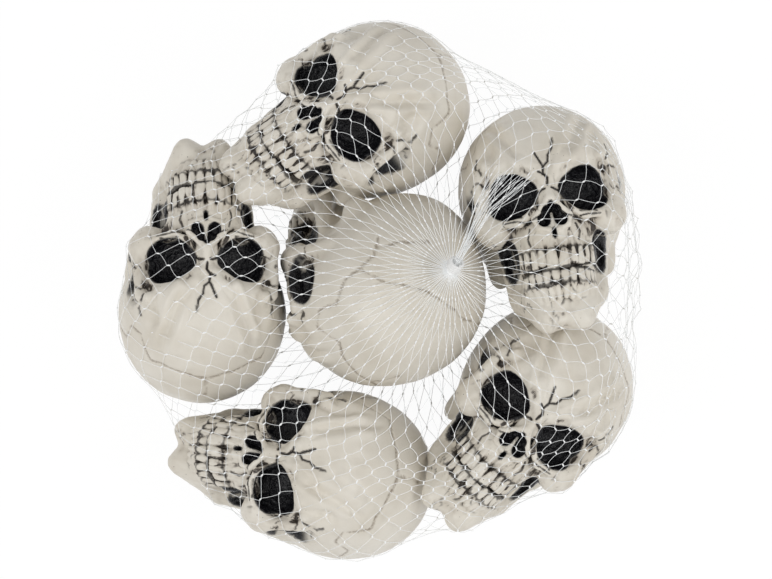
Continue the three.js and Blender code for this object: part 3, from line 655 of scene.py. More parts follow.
def skull_surface(step):
    """The skull's finished surface in its own frame, finer on the face: corners, faces and paint masks."""
    clay = model_skull(step)
    grid = openvdb.FloatGrid(Clay.FAR)
    grid.copyFromArray(np.ascontiguousarray(clay.field[::2, ::2, ::2]))
    corners, triangles, quads = grid.convertToPolygons(0.0, 0.0)
    if len(triangles):
        raise RuntimeError("the skull's surface holds triangles, which can't be refined")
    points = clay.low + corners.astype(np.float32) * clay.step * 2
    x, f, u = points[quads].mean(axis=1).T
    face = (f > 26 - 0.25 * np.minimum(u, 0)) & (np.abs(x) < 29) & (u < 12) & (u > -60)
    points, faces = refined(points, quads, face)
    for _ in range(2):
        points = points - surface_normals(points, clay) * clay.sample(points)[:, None]
    points = shape_details(points, clay)
    return clay, points, faces, paint_masks(points, clay)


def seat_of(name):
    """The turn and the place, in millimetres, that put the modelled skull where its CAD node lies."""
    turn = turn_of(POSES[name])
    corners = np.array([v.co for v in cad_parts[name].data.vertices]) / MM
    local = corners @ turn
    low, high = local.min(0), local.max(0)
    origin = np.array([(low[0] + high[0]) / 2, high[1] - VAULT[1][1], high[2] - VAULT[1][2]])
    return turn, turn @ origin


def forward_out(points):
    """Changes between the modelled frame (sideways, forward, up) and the node's (x, y, z)."""
    return points * np.array([1, -1, 1])


class Surroundings:
    """Distance from the skulls on a grid over the whole bag, in millimetres."""

    FAR = 6.0
    MARGIN = 8
    REACH = 64

    def __init__(self, clay, seats, step=1.2):
        self.step = step
        self.low = np.array(CAD_BOX[0]) / MM - self.MARGIN
        counts = np.ceil((np.array(CAD_BOX[1]) / MM + self.MARGIN - self.low) / step).astype(int) + 1
        self.distance = np.full(counts, self.FAR, np.float32)
        clay_high = clay.low + clay.step * (np.array(clay.field.shape) - 2)
        for turn, place in seats:
            first = np.clip(((place - self.REACH - self.low) / step).astype(int), 0, counts)
            last = np.clip(((place + self.REACH - self.low) / step).astype(int) + 2, 0, counts)
            spans = [self.low[i] + step * np.arange(first[i], last[i]) for i in range(3)]
            cells = np.stack(np.meshgrid(*spans, indexing="ij"), axis=-1)
            local = forward_out((cells.reshape(-1, 3) - place) @ turn)
            inside = np.all((local > clay.low) & (local < clay_high), axis=1)
            found = np.full(len(local), self.FAR, np.float32)
            found[inside] = clay.sample(local[inside])
            picks = tuple(slice(a, b) for a, b in zip(first, last))
            self.distance[picks] = np.minimum(self.distance[picks], found.reshape(cells.shape[:3]))
        self.slopes = np.stack(np.gradient(self.distance, step), axis=-1).astype(np.float32)

    def push_out(self, points, clearance):
        """How far each point has to move to stay a clearance away from the skulls."""
        place = np.clip((points - self.low) / self.step, 0, np.array(self.distance.shape) - 1.001)
        base = place.astype(int)
        distance = np.zeros(points.shape[:-1])
        slope = np.zeros(points.shape)
        for offset, weight in cell_corners(place - base):
            cell = tuple(np.moveaxis(base + offset, -1, 0))
            distance += weight * self.distance[cell]
            slope += weight[..., None] * self.slopes[cell]
        length = np.maximum(np.linalg.norm(slope, axis=-1, keepdims=True), 1e-3)
        return slope / length * np.maximum(clearance - distance, 0)[..., None]


def middle_of(node):
    """The middle of a CAD node's box in millimetres."""
    low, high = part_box(node)
    return np.array((low + high) / 2) / MM


# Where the net is gathered, in millimetres of the part's frame.
TIE_WAY = np.array([0.405, 0.623, 0.669])
TIE_PLACE = middle_of("top_tie")
TOP_HUB = TIE_PLACE - 3.4 * TIE_WAY - (0, 0, 3.0)
BOTTOM_HUB = np.array([*middle_of("bottom_tie")[:2], 1.0])
NECK_RADIUS = 1.4
# The slack bulge at the right, as places on its outer line, and its height and thickness there.
BULGE = ((96, 65), (103, 47.5), (106.5, 39), (109.4, 24), (109, 4.5), (108, -7), (106.5, -23), (104, -46))
BULGE_UP = 42.0
BULGE_RADIUS = 12.0
SPREAD_RADIUS = 124.0
FLOOR = 0.45
# Below the upper gather the net is drawn straight for some rows, to this share of its full length; what a
# line has too much is crowded into the rows after them.
TAUT = 0.955
TAUT_ROWS = 7
CROWDED_ROWS = 9
CROWDED_STEP = 3.2
# How unevenly the net is laid: its lines swing together and apart (radians), and its rows ripple (rows).
SWAY = 0.014
WANDER = 0.016
RIPPLE, UNEVEN, UNEVEN_AT_HUB = 0.07, 0.09, 0.28
# One round of pulling tight: how far each crossing follows its pull, and how far it is evened out.
FOLLOW = 1.6
EVEN_OUT = 0.06
# The cut end of the net: its way over the table, how far it fans out, where it is pinched, and half its
# width up to there, as (share of its length, half width).
TAIL_WAY = np.radians(63.5)
TAIL_FAN = np.radians(13)
TAIL_PINCH = 0.5
TAIL_WIDTHS = ((0, 0.1, 0.25, 0.4, TAIL_PINCH), (1.5, 1.5, 2.2, 3.3, 4.3))


def bag_skin(clouds):
    """The tight skin round the skulls, the two gathers and the loose bulge, to aim at from inside."""
    shell = bmesh.new()
    for cloud in clouds:
        for point in cloud:
            shell.verts.new(point)
    shell.verts.new(TOP_HUB)
    shell.verts.new((BOTTOM_HUB[0], BOTTOM_HUB[1], 0.0))
    for across, along in BULGE:
        for angle in np.linspace(-math.pi / 2, math.pi / 2, 13):
            out = BULGE_RADIUS * math.cos(angle)
            shell.verts.new((across + out, along, BULGE_UP + 1.6 * BULGE_RADIUS * math.sin(angle)))
    hull = bmesh.ops.convex_hull(shell, input=shell.verts)
    inner = [item for item in hull["geom_interior"] if isinstance(item, bmesh.types.BMVert)]
    bmesh.ops.delete(shell, geom=inner, context="VERTS")
    tree = BVHTree.FromBMesh(shell)
    shell.free()
    return tree


def column_line(skin, bearing, steps=96):
    """One line of the bag from its lower gather, out along the floor, up and over to the upper gather."""
    target = SPREAD_RADIUS * np.array([math.cos(bearing), math.sin(bearing)])
    bottom, top = np.array(BOTTOM_HUB), np.array(TOP_HUB)

    def way_out(hub):
        way = target - hub[:2]
        return way / np.linalg.norm(way)

    line = []
    for step in range(steps + 1):
        polar = math.pi * (step / steps)
        middle = bottom + (top - bottom) * smooth_step(0.25, 0.75, step / steps)
        direction = Vector((*(way_out(middle) * math.sin(polar)), -math.cos(polar)))
        hit = skin.ray_cast(Vector((middle[0], middle[1], 45.0)), direction)[0]
        if hit is not None:
            line.append(hit)
    line = np.array(line)
    kept = (np.hypot(*(line[:, :2] - bottom[:2]).T) > NECK_RADIUS) | (line[:, 2] > 20)
    kept &= (np.hypot(*(line[:, :2] - top[:2]).T) > NECK_RADIUS) | (line[:, 2] < 60)
    first = np.append(bottom[:2] + way_out(bottom) * NECK_RADIUS, FLOOR)
    last = np.append(top[:2] + way_out(top) * NECK_RADIUS, top[2])
    return np.vstack([first, line[kept], last])


def lay_net(skin, settings):
    """Crossings of the net, as an array of rows by columns by three, at rest on the tight skin."""
    columns, rows = settings.columns, settings.rows
    rng = np.random.default_rng(settings.seed)
    wander = rng.uniform(-1, 1, (2 * columns,))
    crossings = np.zeros((rows + 1, columns, 3))
    turns = np.linspace(0, 2 * math.pi, 2 * columns, endpoint=False)
    sway = sum(np.sin(turns * n + rng.uniform(0, 6.3)) / n for n in (2, 3, 5, 7, 11, 17, 29)) * SWAY
    for column in range(2 * columns):
        bearing = turns[column] + sway[column] + WANDER * wander[column]
        line = column_line(skin, bearing)
        along = np.concatenate([[0], np.cumsum(np.linalg.norm(np.diff(line, axis=0), axis=1))])
        level = np.arange(column % 2, rows + 1, 2)
        ripple = RIPPLE * np.sin(level * 0.9 + 5 * np.sin(bearing * 3))
        ripple += UNEVEN * rng.uniform(-1, 1, len(level))
        ripple += UNEVEN_AT_HUB * rng.uniform(-1, 1, len(level)) * (level > rows - 5)
        below_top = np.clip(rows - level + ripple * (level > 1) * (level < rows), 0, rows)
        step = max(settings.bar / MM * TAUT, along[-1] / rows)
        rest = max(along[-1] - (rows - CROWDED_ROWS) * step, CROWDED_STEP * CROWDED_ROWS)
        stops = (0, TAUT_ROWS * step, TAUT_ROWS * step + rest, along[-1])
        from_top = np.interp(below_top, (0, TAUT_ROWS, TAUT_ROWS + CROWDED_ROWS, rows), stops)
        for axis in range(3):
            crossings[level, column // 2, axis] = np.interp(along[-1] - from_top, along, line[:, axis])
    return crossings


def row_links(row):
    """Column shifts of the two crossings that a crossing joins in the next row."""
    return (0, -1) if row % 2 == 0 else (0, 1)


def keep_off(places, around, clearance):
    """Moves the crossings between the two ends off the skulls, and all of them up onto the floor."""
    places[1:-1] += around.push_out(places[1:-1], clearance)
    places[..., 2] = np.maximum(places[..., 2], FLOOR)


def settle_net(crossings, around, settings):
    """Pulls the net tight over the skulls where it is stretched and keeps it off them and the floor."""
    places = crossings.copy()
    longest, clearance = settings.bar / MM, settings.clearance / MM
    rows = len(places) - 1
    for _ in range(settings.passes):
        move = np.zeros_like(places)
        count = np.zeros(places.shape[:2] + (1,))
        for row in range(rows):
            for shift in row_links(row):
                other = np.roll(places[row + 1], -shift, axis=0)
                span = other - places[row]
                length = np.linalg.norm(span, axis=1, keepdims=True)
                pull = span * np.maximum(length - longest, 0) / np.maximum(length, 1e-6) / 2
                lift = around.push_out((places[row] + other) / 2, clearance)
                move[row] += pull + lift / 2
                move[row + 1] += np.roll(lift / 2 - pull, shift, axis=0)
                count[row : row + 2] += 1
        move /= np.maximum(count, 1)
        places[1:-1] += FOLLOW * move[1:-1]
        for row in range(3, rows - 3):
            both = places[row - 1] + places[row + 1]
            middle = sum(np.roll(both, -shift, axis=0) for shift in row_links(row)) / 4
            places[row] += EVEN_OUT * (middle - places[row])
        keep_off(places, around, clearance)
    rng = np.random.default_rng(settings.seed + 5)
    flat = places.reshape(-1, 3)
    waves = np.column_stack([value_noise(flat, 11, seed) for seed in (31, 32, 33)]).reshape(places.shape)
    stir = (2.8 * waves + 0.6 * rng.normal(0, 1, places.shape)) * looseness(places)[..., None]
    places[2:-2] += stir[2:-2]
    keep_off(places, around, clearance)
    return places


def looseness(points):
    """How loosely the net hangs: not near the upper gather, a little further out, fully in the bulge."""
    away = np.linalg.norm(points[..., :2] - TOP_HUB[:2], axis=-1)
    return np.maximum(0.14 * smooth_step(45, 95, away), smooth_step(86, 106, points[..., 0]))


def thickness(points):
    """Share of the full thickness that the strands keep: they are drawn thin towards the gathers."""
    away = np.minimum(np.linalg.norm(points - TOP_HUB, axis=1), np.linalg.norm(points - BOTTOM_HUB, axis=1))
    return (0.44 + 0.56 * smooth_step(6, 62, away)) * (1 + 0.3 * value_noise(points, 2.4, 61))


def give(mesh, name, kind, values):
    """Writes an attribute of a mesh, one value for each of its points."""
    key = {"FLOAT": "value", "FLOAT_VECTOR": "vector", "FLOAT_COLOR": "color"}[kind]
    mesh.attributes.new(name, kind, "POINT").data.foreach_set(key, np.asarray(values, np.float32).ravel())


def line_mesh(name, strands, edges, knots, ways, share=1.0):
    """Strands as edges and beads as single points, each with the way it runs, in metres."""
    points = np.concatenate([strands, knots])
    mesh = bpy.data.meshes.new(name)
    mesh.from_pydata((points * MM).tolist(), edges.tolist(), [])
    give(mesh, "knot", "FLOAT", np.repeat([0.0, 1.0], [len(strands), len(knots)]))
    give(mesh, "thickness", "FLOAT", share * thickness(points).astype(np.float32))
    give(mesh, "way", "FLOAT_VECTOR", np.concatenate([np.zeros_like(strands), ways]))
    return mesh


def tail_mesh(name, skin, settings):
    """The cut end of the net past the upper tie: strands that run in a bundle to a pinch, then fan out."""
    rng = np.random.default_rng(settings.seed + 1)
    count, steps, length = settings.tail_strands, 18, settings.tail / MM
    lane, layer = rng.uniform(-1, 1, count), rng.uniform(0, 1, count)
    ends = length * (0.93 + 0.07 * lane) * rng.uniform(0.86, 1.0, count)
    run = np.linspace(0, 1, steps + 1)[:, None] * ends
    bundle = np.minimum(run, TAIL_PINCH * length)
    fan = run - bundle
    spread = TAIL_WAY - TAIL_FAN * (1 + lane) + rng.uniform(-0.04, 0.04, count)
    turn = spread + rng.uniform(-0.005, 0.005, count) * fan
    half = np.interp(bundle / length, *TAIL_WIDTHS)
    aside = lane * half + 0.25 * np.sin(run * rng.uniform(0.1, 0.35, count) + rng.uniform(0, 6.3, count))
    start = TIE_PLACE + TIE_WAY * 3.2
    strands = np.empty((steps + 1, count, 3))
    east, north = math.cos(TAIL_WAY), math.sin(TAIL_WAY)
    strands[..., 0] = start[0] + bundle * east + aside * north + fan * np.cos(turn)
    strands[..., 1] = start[1] + bundle * north - aside * east + fan * np.sin(turn)
    down = Vector((0, 0, -1))
    rest = [skin.ray_cast(Vector((*place, 200.0)), down)[0].z for place in strands[..., :2].reshape(-1, 2)]
    level = np.reshape(rest, (steps + 1, count)) + 1.1
    lift = np.interp(run / length, (0, 0.12, 0.3), (1, 0.55, 0))
    heap = (layer - 0.5 * lift) * np.interp(run / length, (0, 0.5, 1), (2.6, 1.8, 0.6))
    strands[..., 2] = level + (start[2] - level) * lift + heap
    around_neck = rng.uniform(0, 2 * math.pi, count)[:, None]
    side = np.cross(TIE_WAY, (0, 0, 1))
    side /= np.linalg.norm(side)
    ring = np.cos(around_neck) * side + np.sin(around_neck) * np.cross(side, TIE_WAY)
    ring *= rng.uniform(0.6, 2.2, (count, 1))
    neck = [TOP_HUB + 1.1 * ring, TIE_PLACE + ring, TIE_PLACE + 2.4 * TIE_WAY + ring]
    strands = np.concatenate([neck, strands])
    first = np.arange((len(strands) - 1) * count)
    chosen = rng.integers(6, len(strands) - 1, (2, count))
    knots = strands[chosen, np.arange(count)]
    ways = unit(strands[chosen + 1, np.arange(count)] - knots)
    edges = np.column_stack([first, first + count])
    return line_mesh(name, strands.reshape(-1, 3), edges, knots.reshape(-1, 3), ways.reshape(-1, 3), 0.62)


def strand_mesh(name, places, settings, around, first_row=0):
    """The net between some rows of crossings, with its strands bowed where it hangs loose."""
    rows, columns = places.shape[:2]
    ahead = np.zeros_like(places)
    for row in range(rows - 1):
        for shift in row_links(row + first_row):
            span = np.roll(places[row + 1], -shift, axis=0) - places[row]
            ahead[row] += span
            ahead[row + 1] += np.roll(span, shift, axis=0)
    ahead = unit(ahead)
    fused = settings.knot_length / MM * 0.42
    longest = settings.bar / MM - 2 * fused
    near, far = places + ahead * fused, places - ahead * fused
    rng = np.random.default_rng(settings.seed + 2)
    points, edges = [], []
    shares = (0.0, 0.33, 0.67, 1.0)
    for row in range(rows - 1):
        across = np.roll(places[row], 1, axis=0) - np.roll(places[row], -1, axis=0)
        for turn, shift in enumerate(row_links(row + first_row)):
            start, end = near[row], np.roll(far[row + 1], -shift, axis=0)
            span = end - start
            length = np.linalg.norm(span, axis=1, keepdims=True)
            spare = np.sqrt(np.maximum(longest**2 - length**2, 0))
            side = unit(np.cross(np.cross(span, across), span))
            loose = looseness((start + end) / 2)[:, None]
            sway = spare * (0.03 + loose * (0.09 + 0.2 * rng.uniform(-1, 1, (columns, 1))))
            first = len(points) * columns + np.arange(columns)
            for share in shares:
                bow = 4 * share * (1 - share)
                chain = start + span * share + side * sway * bow * (1 if turn else -1)
                chain[:, 2] -= 0.08 * (spare * loose)[:, 0] * bow
                if 0 < share < 1:
                    chain += around.push_out(chain, settings.clearance / MM)
                    edges.append(np.column_stack([first, first + columns]))
                    first = first + columns
                chain[:, 2] = np.maximum(chain[:, 2], FLOOR)
                points.append(chain)
            edges.append(np.column_stack([first, first + columns]))
    knots, ways = places.reshape(-1, 3), ahead.reshape(-1, 3)
    return line_mesh(name, np.concatenate(points), np.concatenate(edges), knots, ways)


class Nodes:
    """A node tree that is built with short calls."""

    def __init__(self, tree):
        self.tree = tree
        tree.nodes.clear()

    def add(self, kind, values=(), **settings):
        """A new node's outputs, with its settings made and its inputs filled or linked."""
        node = self.tree.nodes.new(kind)
        for name, value in settings.items():
            setattr(node, name, value)
        for socket, value in dict(values).items():
            for part in value if isinstance(value, list) else [value]:
                if isinstance(part, bpy.types.NodeSocket):
                    self.tree.links.new(part, node.inputs[socket])
                else:
                    node.inputs[socket].default_value = (*part, 1.0) if isinstance(part, Color) else part
        return node.outputs


class Finish(Nodes):
    """One material."""

    def __init__(self, name):
        self.material = bpy.data.materials.new(name)
        self.material.use_nodes = True
        super().__init__(self.material.node_tree)

    def attribute(self, name):
        return self.add("ShaderNodeAttribute", attribute_name=name)

    def math(self, operation, a, b, clamp=False):
        return self.add("ShaderNodeMath", {0: a, 1: b}, operation=operation, use_clamp=clamp)[0]

    def times(self, a, b, clamp=False):
        return self.math("MULTIPLY", a, b, clamp)

    def ramp(self, value, low, high, start=0.0, end=1.0):
        values = enumerate((value, low, high, start, end))
        return self.add("ShaderNodeMapRange", values, interpolation_type="SMOOTHSTEP")[0]

    def mix(self, share, a, b):
        return self.add("ShaderNodeMix", {0: share, 6: a, 7: b}, data_type="RGBA")[2]

    def noise(self, vector, scale, detail=2.0, rough=0.5, bend=0.0):
        values = {"Vector": vector, "Scale": scale, "Detail": detail, "Roughness": rough, "Distortion": bend}
        return self.add("ShaderNodeTexNoise", values)["Fac"]

    def stretched(self, vector, factors):
        return self.add("ShaderNodeMapping", {"Vector": vector, "Scale": factors})[0]

    def bump(self, height, distance, strength=1.0, **more):
        values = {"Height": height, "Distance": distance, "Strength": strength, **more}
        return self.add("ShaderNodeBump", values)[0]

    def surface(self, base, rough, **more):
        values = {"Base Color": base, "Roughness": rough}
        values.update((name.replace("_", " "), value) for name, value in more.items())
        return self.add("ShaderNodeBsdfPrincipled", values)[0]

    def end(self, shader):
        self.add("ShaderNodeOutputMaterial", {"Surface": shader})
        return self.material


def skull_finish(settings):
    """Ivory moulded plastic with gloss black hollows, a brown wash and dark cracks."""
    finish = Finish("moulded_ivory_plastic")
    mix, ramp, noise, times = finish.mix, finish.ramp, finish.noise, finish.times
    place = finish.attribute("mould")["Vector"]
    paint = finish.attribute("paint")
    black, wash, line = finish.add("ShaderNodeSeparateColor", {0: paint["Color"]})
    seam = paint["Alpha"]
    broad = noise(place, 0.045, 3.0, 0.55)
    fine = noise(place, 0.9, 4.0, 0.6)
    streak = noise(finish.stretched(place, (1.0, 1.0, 0.35)), 0.55, 3.0, 0.6, 0.4)
    base = mix(ramp(broad, 0.35, 0.72), settings.ivory, settings.ivory_shade)
    base = mix(times(ramp(fine, 0.52, 0.75), 0.18), base, settings.ivory_shade)
    grime = times(wash, ramp(streak, 0.3, 0.62, 0.45, 1.15), clamp=True)
    base = mix(times(grime, 0.55, clamp=True), base, settings.tan)
    base = mix(ramp(grime, 0.42, 0.9), base, settings.wash)
    base = mix(times(seam, ramp(fine, 0.35, 0.6, 0.35, 0.8)), base, settings.seam)
    dots = finish.add("ShaderNodeTexVoronoi", {"Vector": place, "Scale": 0.42})["Distance"]
    speck = times(ramp(dots, 0.13, 0.06), ramp(finish.attribute("speck")["Fac"], 0.25, 0.9))
    speck = times(speck, ramp(noise(place, 0.16), 0.45, 0.58))
    base = mix(times(speck, 0.8), base, settings.wash)
    base = mix(line, base, settings.line)
    base = mix(black, base, settings.black)
    grain = finish.bump(fine, 0.00008, 0.35)
    grain = finish.bump(times(noise(place, 0.5, 3.0, 0.55), black), 0.0017, 0.85, Normal=grain)
    uneven = times(finish.math("SUBTRACT", broad, 0.5), 0.16)
    rough = finish.math("ADD", ramp(black, 0.2, 0.8, 0.43, 0.13), uneven)
    return finish.end(finish.surface(base, rough, Normal=grain, IOR=ramp(black, 0.3, 0.9, 1.45, 1.38)))


def net_finish(settings):
    """White drawn plastic net, a little clearer where it is stretched thin, and glowing faintly: painted
    light that lifts its shaded sides.
    """
    finish = Finish("drawn_net_plastic")
    place = finish.add("ShaderNodeTexCoord")["Object"]
    drawn = finish.noise(place, 240.0, 3.0, 0.6)
    base = finish.mix(finish.ramp(drawn, 0.35, 0.65), settings.net_colour, settings.net_shade)
    clear = finish.ramp(drawn, 0.3, 0.7, settings.solid - 0.08, settings.solid + 0.08)
    return finish.end(finish.surface(
        base,
        finish.ramp(drawn, 0.3, 0.7, 0.3, 0.45),
        Normal=finish.bump(finish.noise(place, 1500.0), 0.00006, 0.4),
        # Painted light: the net glows faintly in its own colour, which lightens its strands in shade.
        Emission_Color=base,
        Emission_Strength=settings.painted_glow,
        Alpha=finish.math("MAXIMUM", clear, finish.attribute("knot")["Fac"], clamp=True),
    ))


def tie_finish(settings):
    """White plastic thread with fine ribs along it."""
    finish = Finish("tie_thread_plastic")
    place = finish.add("ShaderNodeTexCoord")["Object"]
    fibres = finish.noise(finish.stretched(place, (1.0, 1.0, 4.0)), 900.0, 3.0, 0.6)
    base = finish.mix(finish.ramp(fibres, 0.35, 0.7), settings.thread_colour, settings.thread_shade)
    rough = finish.ramp(fibres, 0.3, 0.7, 0.32, 0.5)
    return finish.end(finish.surface(base, rough, Normal=finish.bump(fibres, 0.0001, 0.5)))


def floor_finish(settings):
    """White table that the camera sees as plain white, with the object's soft shadow left on it."""
    finish = Finish("white_table")
    paths = finish.add("ShaderNodeLightPath")
    seen = finish.math("MAXIMUM", paths["Is Glossy Ray"], paths["Is Transmission Ray"])
    seen = finish.math("MAXIMUM", paths["Is Camera Ray"], seen)
    shader = finish.surface(settings.floor_colour, 0.9)
    glow = finish.add("ShaderNodeEmission", {"Strength": 1.02})[0]
    share = finish.times(seen, 1 - settings.shadow)
    return finish.end(finish.add("ShaderNodeMixShader", {0: share, 1: shader, 2: glow})[0])


class Pattern(Nodes):
    """A Geometry Nodes tree with named inputs for its sizes and its material."""

    def __init__(self, name, sizes):
        super().__init__(bpy.data.node_groups.new(name, "GeometryNodeTree"))
        sockets = self.tree.interface
        sockets.new_socket("Geometry", in_out="OUTPUT", socket_type="NodeSocketGeometry")
        kinds = {"Geometry": "Geometry", **dict.fromkeys(sizes, "Float"), "Material": "Material"}
        for label, kind in kinds.items():
            sockets.new_socket(label, in_out="INPUT", socket_type="NodeSocket" + kind)
        self.inputs = self.add("NodeGroupInput")

    def make(self, kind, values=(), **settings):
        """The first output of a new Geometry Nodes node."""
        return self.add("GeometryNode" + kind, values, **settings)[0]

    def finish(self, geometry):
        """Ends the tree in real geometry that carries the material."""
        real = self.make("RealizeInstances", {0: geometry})
        smooth = self.make("SetShadeSmooth", {0: real})
        dressed = self.make("SetMaterial", {"Geometry": smooth, "Material": self.inputs["Material"]})
        self.add("NodeGroupOutput", {0: dressed})
        return self

    def apply(self, piece, values):
        """Turns a piece into the plain mesh that the tree makes of it."""
        modifier = piece.modifiers.new(self.tree.name, "NODES")
        modifier.node_group = self.tree
        for item in self.tree.interface.items_tree:
            if item.in_out == "INPUT" and item.name in values:
                modifier[item.identifier] = values[item.name]
        evaluated = piece.evaluated_get(bpy.context.evaluated_depsgraph_get())
        mesh = bpy.data.meshes.new_from_object(evaluated)
        piece.modifiers.clear()
        old = piece.data
        piece.data = mesh
        bpy.data.meshes.remove(old)
        return piece


def strand_pattern():
    """Round strands along the edges and a flat fused bead at each crossing."""
    made = Pattern("net_strands", ("Strand radius", "Bead width", "Bead length"))
    inputs = made.inputs
    size = made.make("InputNamedAttribute", {"Name": "thickness"}, data_type="FLOAT")
    knot = made.make("InputNamedAttribute", {"Name": "knot"}, data_type="FLOAT")
    way = made.make("InputNamedAttribute", {"Name": "way"}, data_type="FLOAT_VECTOR")
    lines = made.make("MeshToCurve", {"Mesh": inputs["Geometry"]})
    lines = made.make("SetCurveRadius", {"Curve": lines, "Radius": size})
    profile = made.make("CurvePrimitiveCircle", {"Resolution": 5, "Radius": inputs["Strand radius"]})
    strands = made.make("CurveToMesh", {"Curve": lines, "Profile Curve": profile})
    slim = made.add("ShaderNodeMath", {0: size, 1: 0.5}, operation="POWER")[0]
    width = made.add("ShaderNodeMath", {0: inputs["Bead width"], 1: slim}, operation="MULTIPLY")[0]
    beads = made.make("InstanceOnPoints", {
        "Points": inputs["Geometry"],
        "Selection": made.add("FunctionNodeCompare", {0: knot, 1: 0.5}, operation="GREATER_THAN")[0],
        "Instance": made.make("MeshUVSphere", {"Segments": 5, "Rings": 4, "Radius": 0.5}),
        "Rotation": made.add("FunctionNodeAlignRotationToVector", {"Vector": way}, axis="Z")[0],
        "Scale": made.add("ShaderNodeCombineXYZ", {0: width, 1: width, 2: inputs["Bead length"]})[0],
    })
    return made.finish(made.make("JoinGeometry", {0: [strands, beads]}))


def thread_pattern():
    """A thread wound closely in turns round an upright axis."""
    made = Pattern("tie_turns", ("Turns", "Coil radius", "Coil height", "Thread radius"))
    inputs = made.inputs
    coil = made.make("CurveSpiral", {
        "Resolution": 24,
        "Rotations": inputs["Turns"],
        "Start Radius": inputs["Coil radius"],
        "End Radius": inputs["Coil radius"],
        "Height": inputs["Coil height"],
    })
    profile = made.make("CurvePrimitiveCircle", {"Resolution": 12, "Radius": inputs["Thread radius"]})
    return made.finish(made.make("CurveToMesh", {"Curve": coil, "Profile Curve": profile, "Fill Caps": True}))


def placed(name, data):
    """A new object in the scene."""
    item = bpy.data.objects.new(name, data)
    bpy.context.scene.collection.objects.link(item)
    return item


def dress(piece, node):
    """Lets a finished piece stand for its CAD node."""
    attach(piece, BODY)
    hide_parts(node)


# What the skulls' operator leaves for the net's: the clay, the skulls' seats and points on their surfaces.
MADE = {}
CLOUD_STRIDE = 29
# Millimetres by which the plastic's pattern moves from one skull to the next, so that no two look the same.
GRAIN_SHIFT = np.array([137.0, 71.0, 43.0])


def measure(name, description, default):
    return FloatProperty(name=name, description=description, default=default, precision=5, unit="LENGTH")


def tint(name, description, default):
    return FloatVectorProperty(name=name, description=description, default=default, subtype="COLOR")


class SkullSettings(PropertyGroup):
    detail: measure("Mould detail", "Grid step of the modelled skull", 0.00045)
    ivory: tint("Ivory", "Main colour of the plastic", (0.785, 0.742, 0.66))
    ivory_shade: tint("Dull ivory", "Darker patches of the plastic", (0.70, 0.65, 0.56))
    tan: tint("Thin wash", "Brown wash where it is rubbed thin", (0.36, 0.29, 0.215))
    wash: tint("Dark wash", "Brown wash where it has settled", (0.045, 0.034, 0.026))
    seam: tint("Seams", "Colour in the seams of the vault", (0.21, 0.155, 0.1))
    line: tint("Cracks", "Colour in the cracks and the bite", (0.02, 0.016, 0.013))
    # Gloss black also colours the painted shade under the cheekbones.
    black: tint("Gloss black", "Paint in the eyes and nose", (0.009, 0.009, 0.011))


class NetSettings(PropertyGroup):
    columns: IntProperty(name="Columns", description="Meshes round the bag", default=56, min=12, max=200)
    rows: IntProperty(name="Rows", description="Rows between the two gathers", default=34, min=20, max=120)
    bar: measure("Strand length", "Longest stretch between two crossings", 0.0116)
    strand_radius: measure("Strand radius", "Radius of one strand", 0.00012)
    knot_length: measure("Bead length", "Length of the fused bead at a crossing", 0.0019)
    knot_width: measure("Bead width", "Width of the fused bead at a crossing", 0.00078)
    clearance: measure("Clearance", "Middle of a strand off the plastic", 0.0007)
    tail: measure("Tail length", "Loose end past the upper tie", 0.052)
    tail_strands: IntProperty(name="Tail strands", description="Strands in the loose end", default=23, min=10)
    passes: IntProperty(name="Passes", description="Rounds of pulling tight", default=60, min=1, max=400)
    seed: IntProperty(name="Seed", description="Seed of the unevenness", default=4)
    net_colour: tint("Net", "Colour of the drawn plastic", (0.97, 0.975, 0.975))
    net_shade: tint("Stretched net", "Colour where it is thin", (0.9, 0.92, 0.925))
    # Painted light: how strongly the net glows, lightening its strands in shade.
    painted_glow: FloatProperty(
        name="Painted glow", description="Glow of the net, a painted light that lifts its shaded sides",
        default=0.1, min=0, max=1, subtype="FACTOR",
    )
    solid: FloatProperty(
        name="Cover", description="How little the clear plastic lets through",
        default=0.6, min=0.1, max=0.92, subtype="FACTOR",
    )


class TieSettings(PropertyGroup):
    coil_radius: measure("Coil radius", "Middle of the thread from the axis", 0.0027)
    thread_radius: measure("Thread radius", "Radius of the thread", 0.0007)
    turns: FloatProperty(name="Turns", description="Turns of the thread", default=4.2, min=1)
    rise: measure("Coil height", "Height from the first turn to the last", 0.0044)
    thread_colour: tint("Thread", "Colour of the thread", (0.93, 0.93, 0.92))
    thread_shade: tint("Thread in shade", "Colour between its fibres", (0.84, 0.84, 0.83))


class StageSettings(PropertyGroup):
    floor_colour: tint("Table", "Colour of the table", (0.9, 0.9, 0.9))
    shadow: FloatProperty(
        name="Shadow share", description="How strongly the camera sees the object's shadow",
        default=0.06, min=0, max=1, subtype="FACTOR",
    )
    height: measure("Camera height", "Camera above the table", 1.196)
    lens: FloatProperty(name="Lens", description="Focal length", default=118.2, unit="CAMERA")
    key: FloatProperty(name="Key light", description="Strength of the soft lights", default=7.6, unit="POWER")
    ambient: FloatProperty(name="Room light", description="Strength of the room's even light", default=0.5)


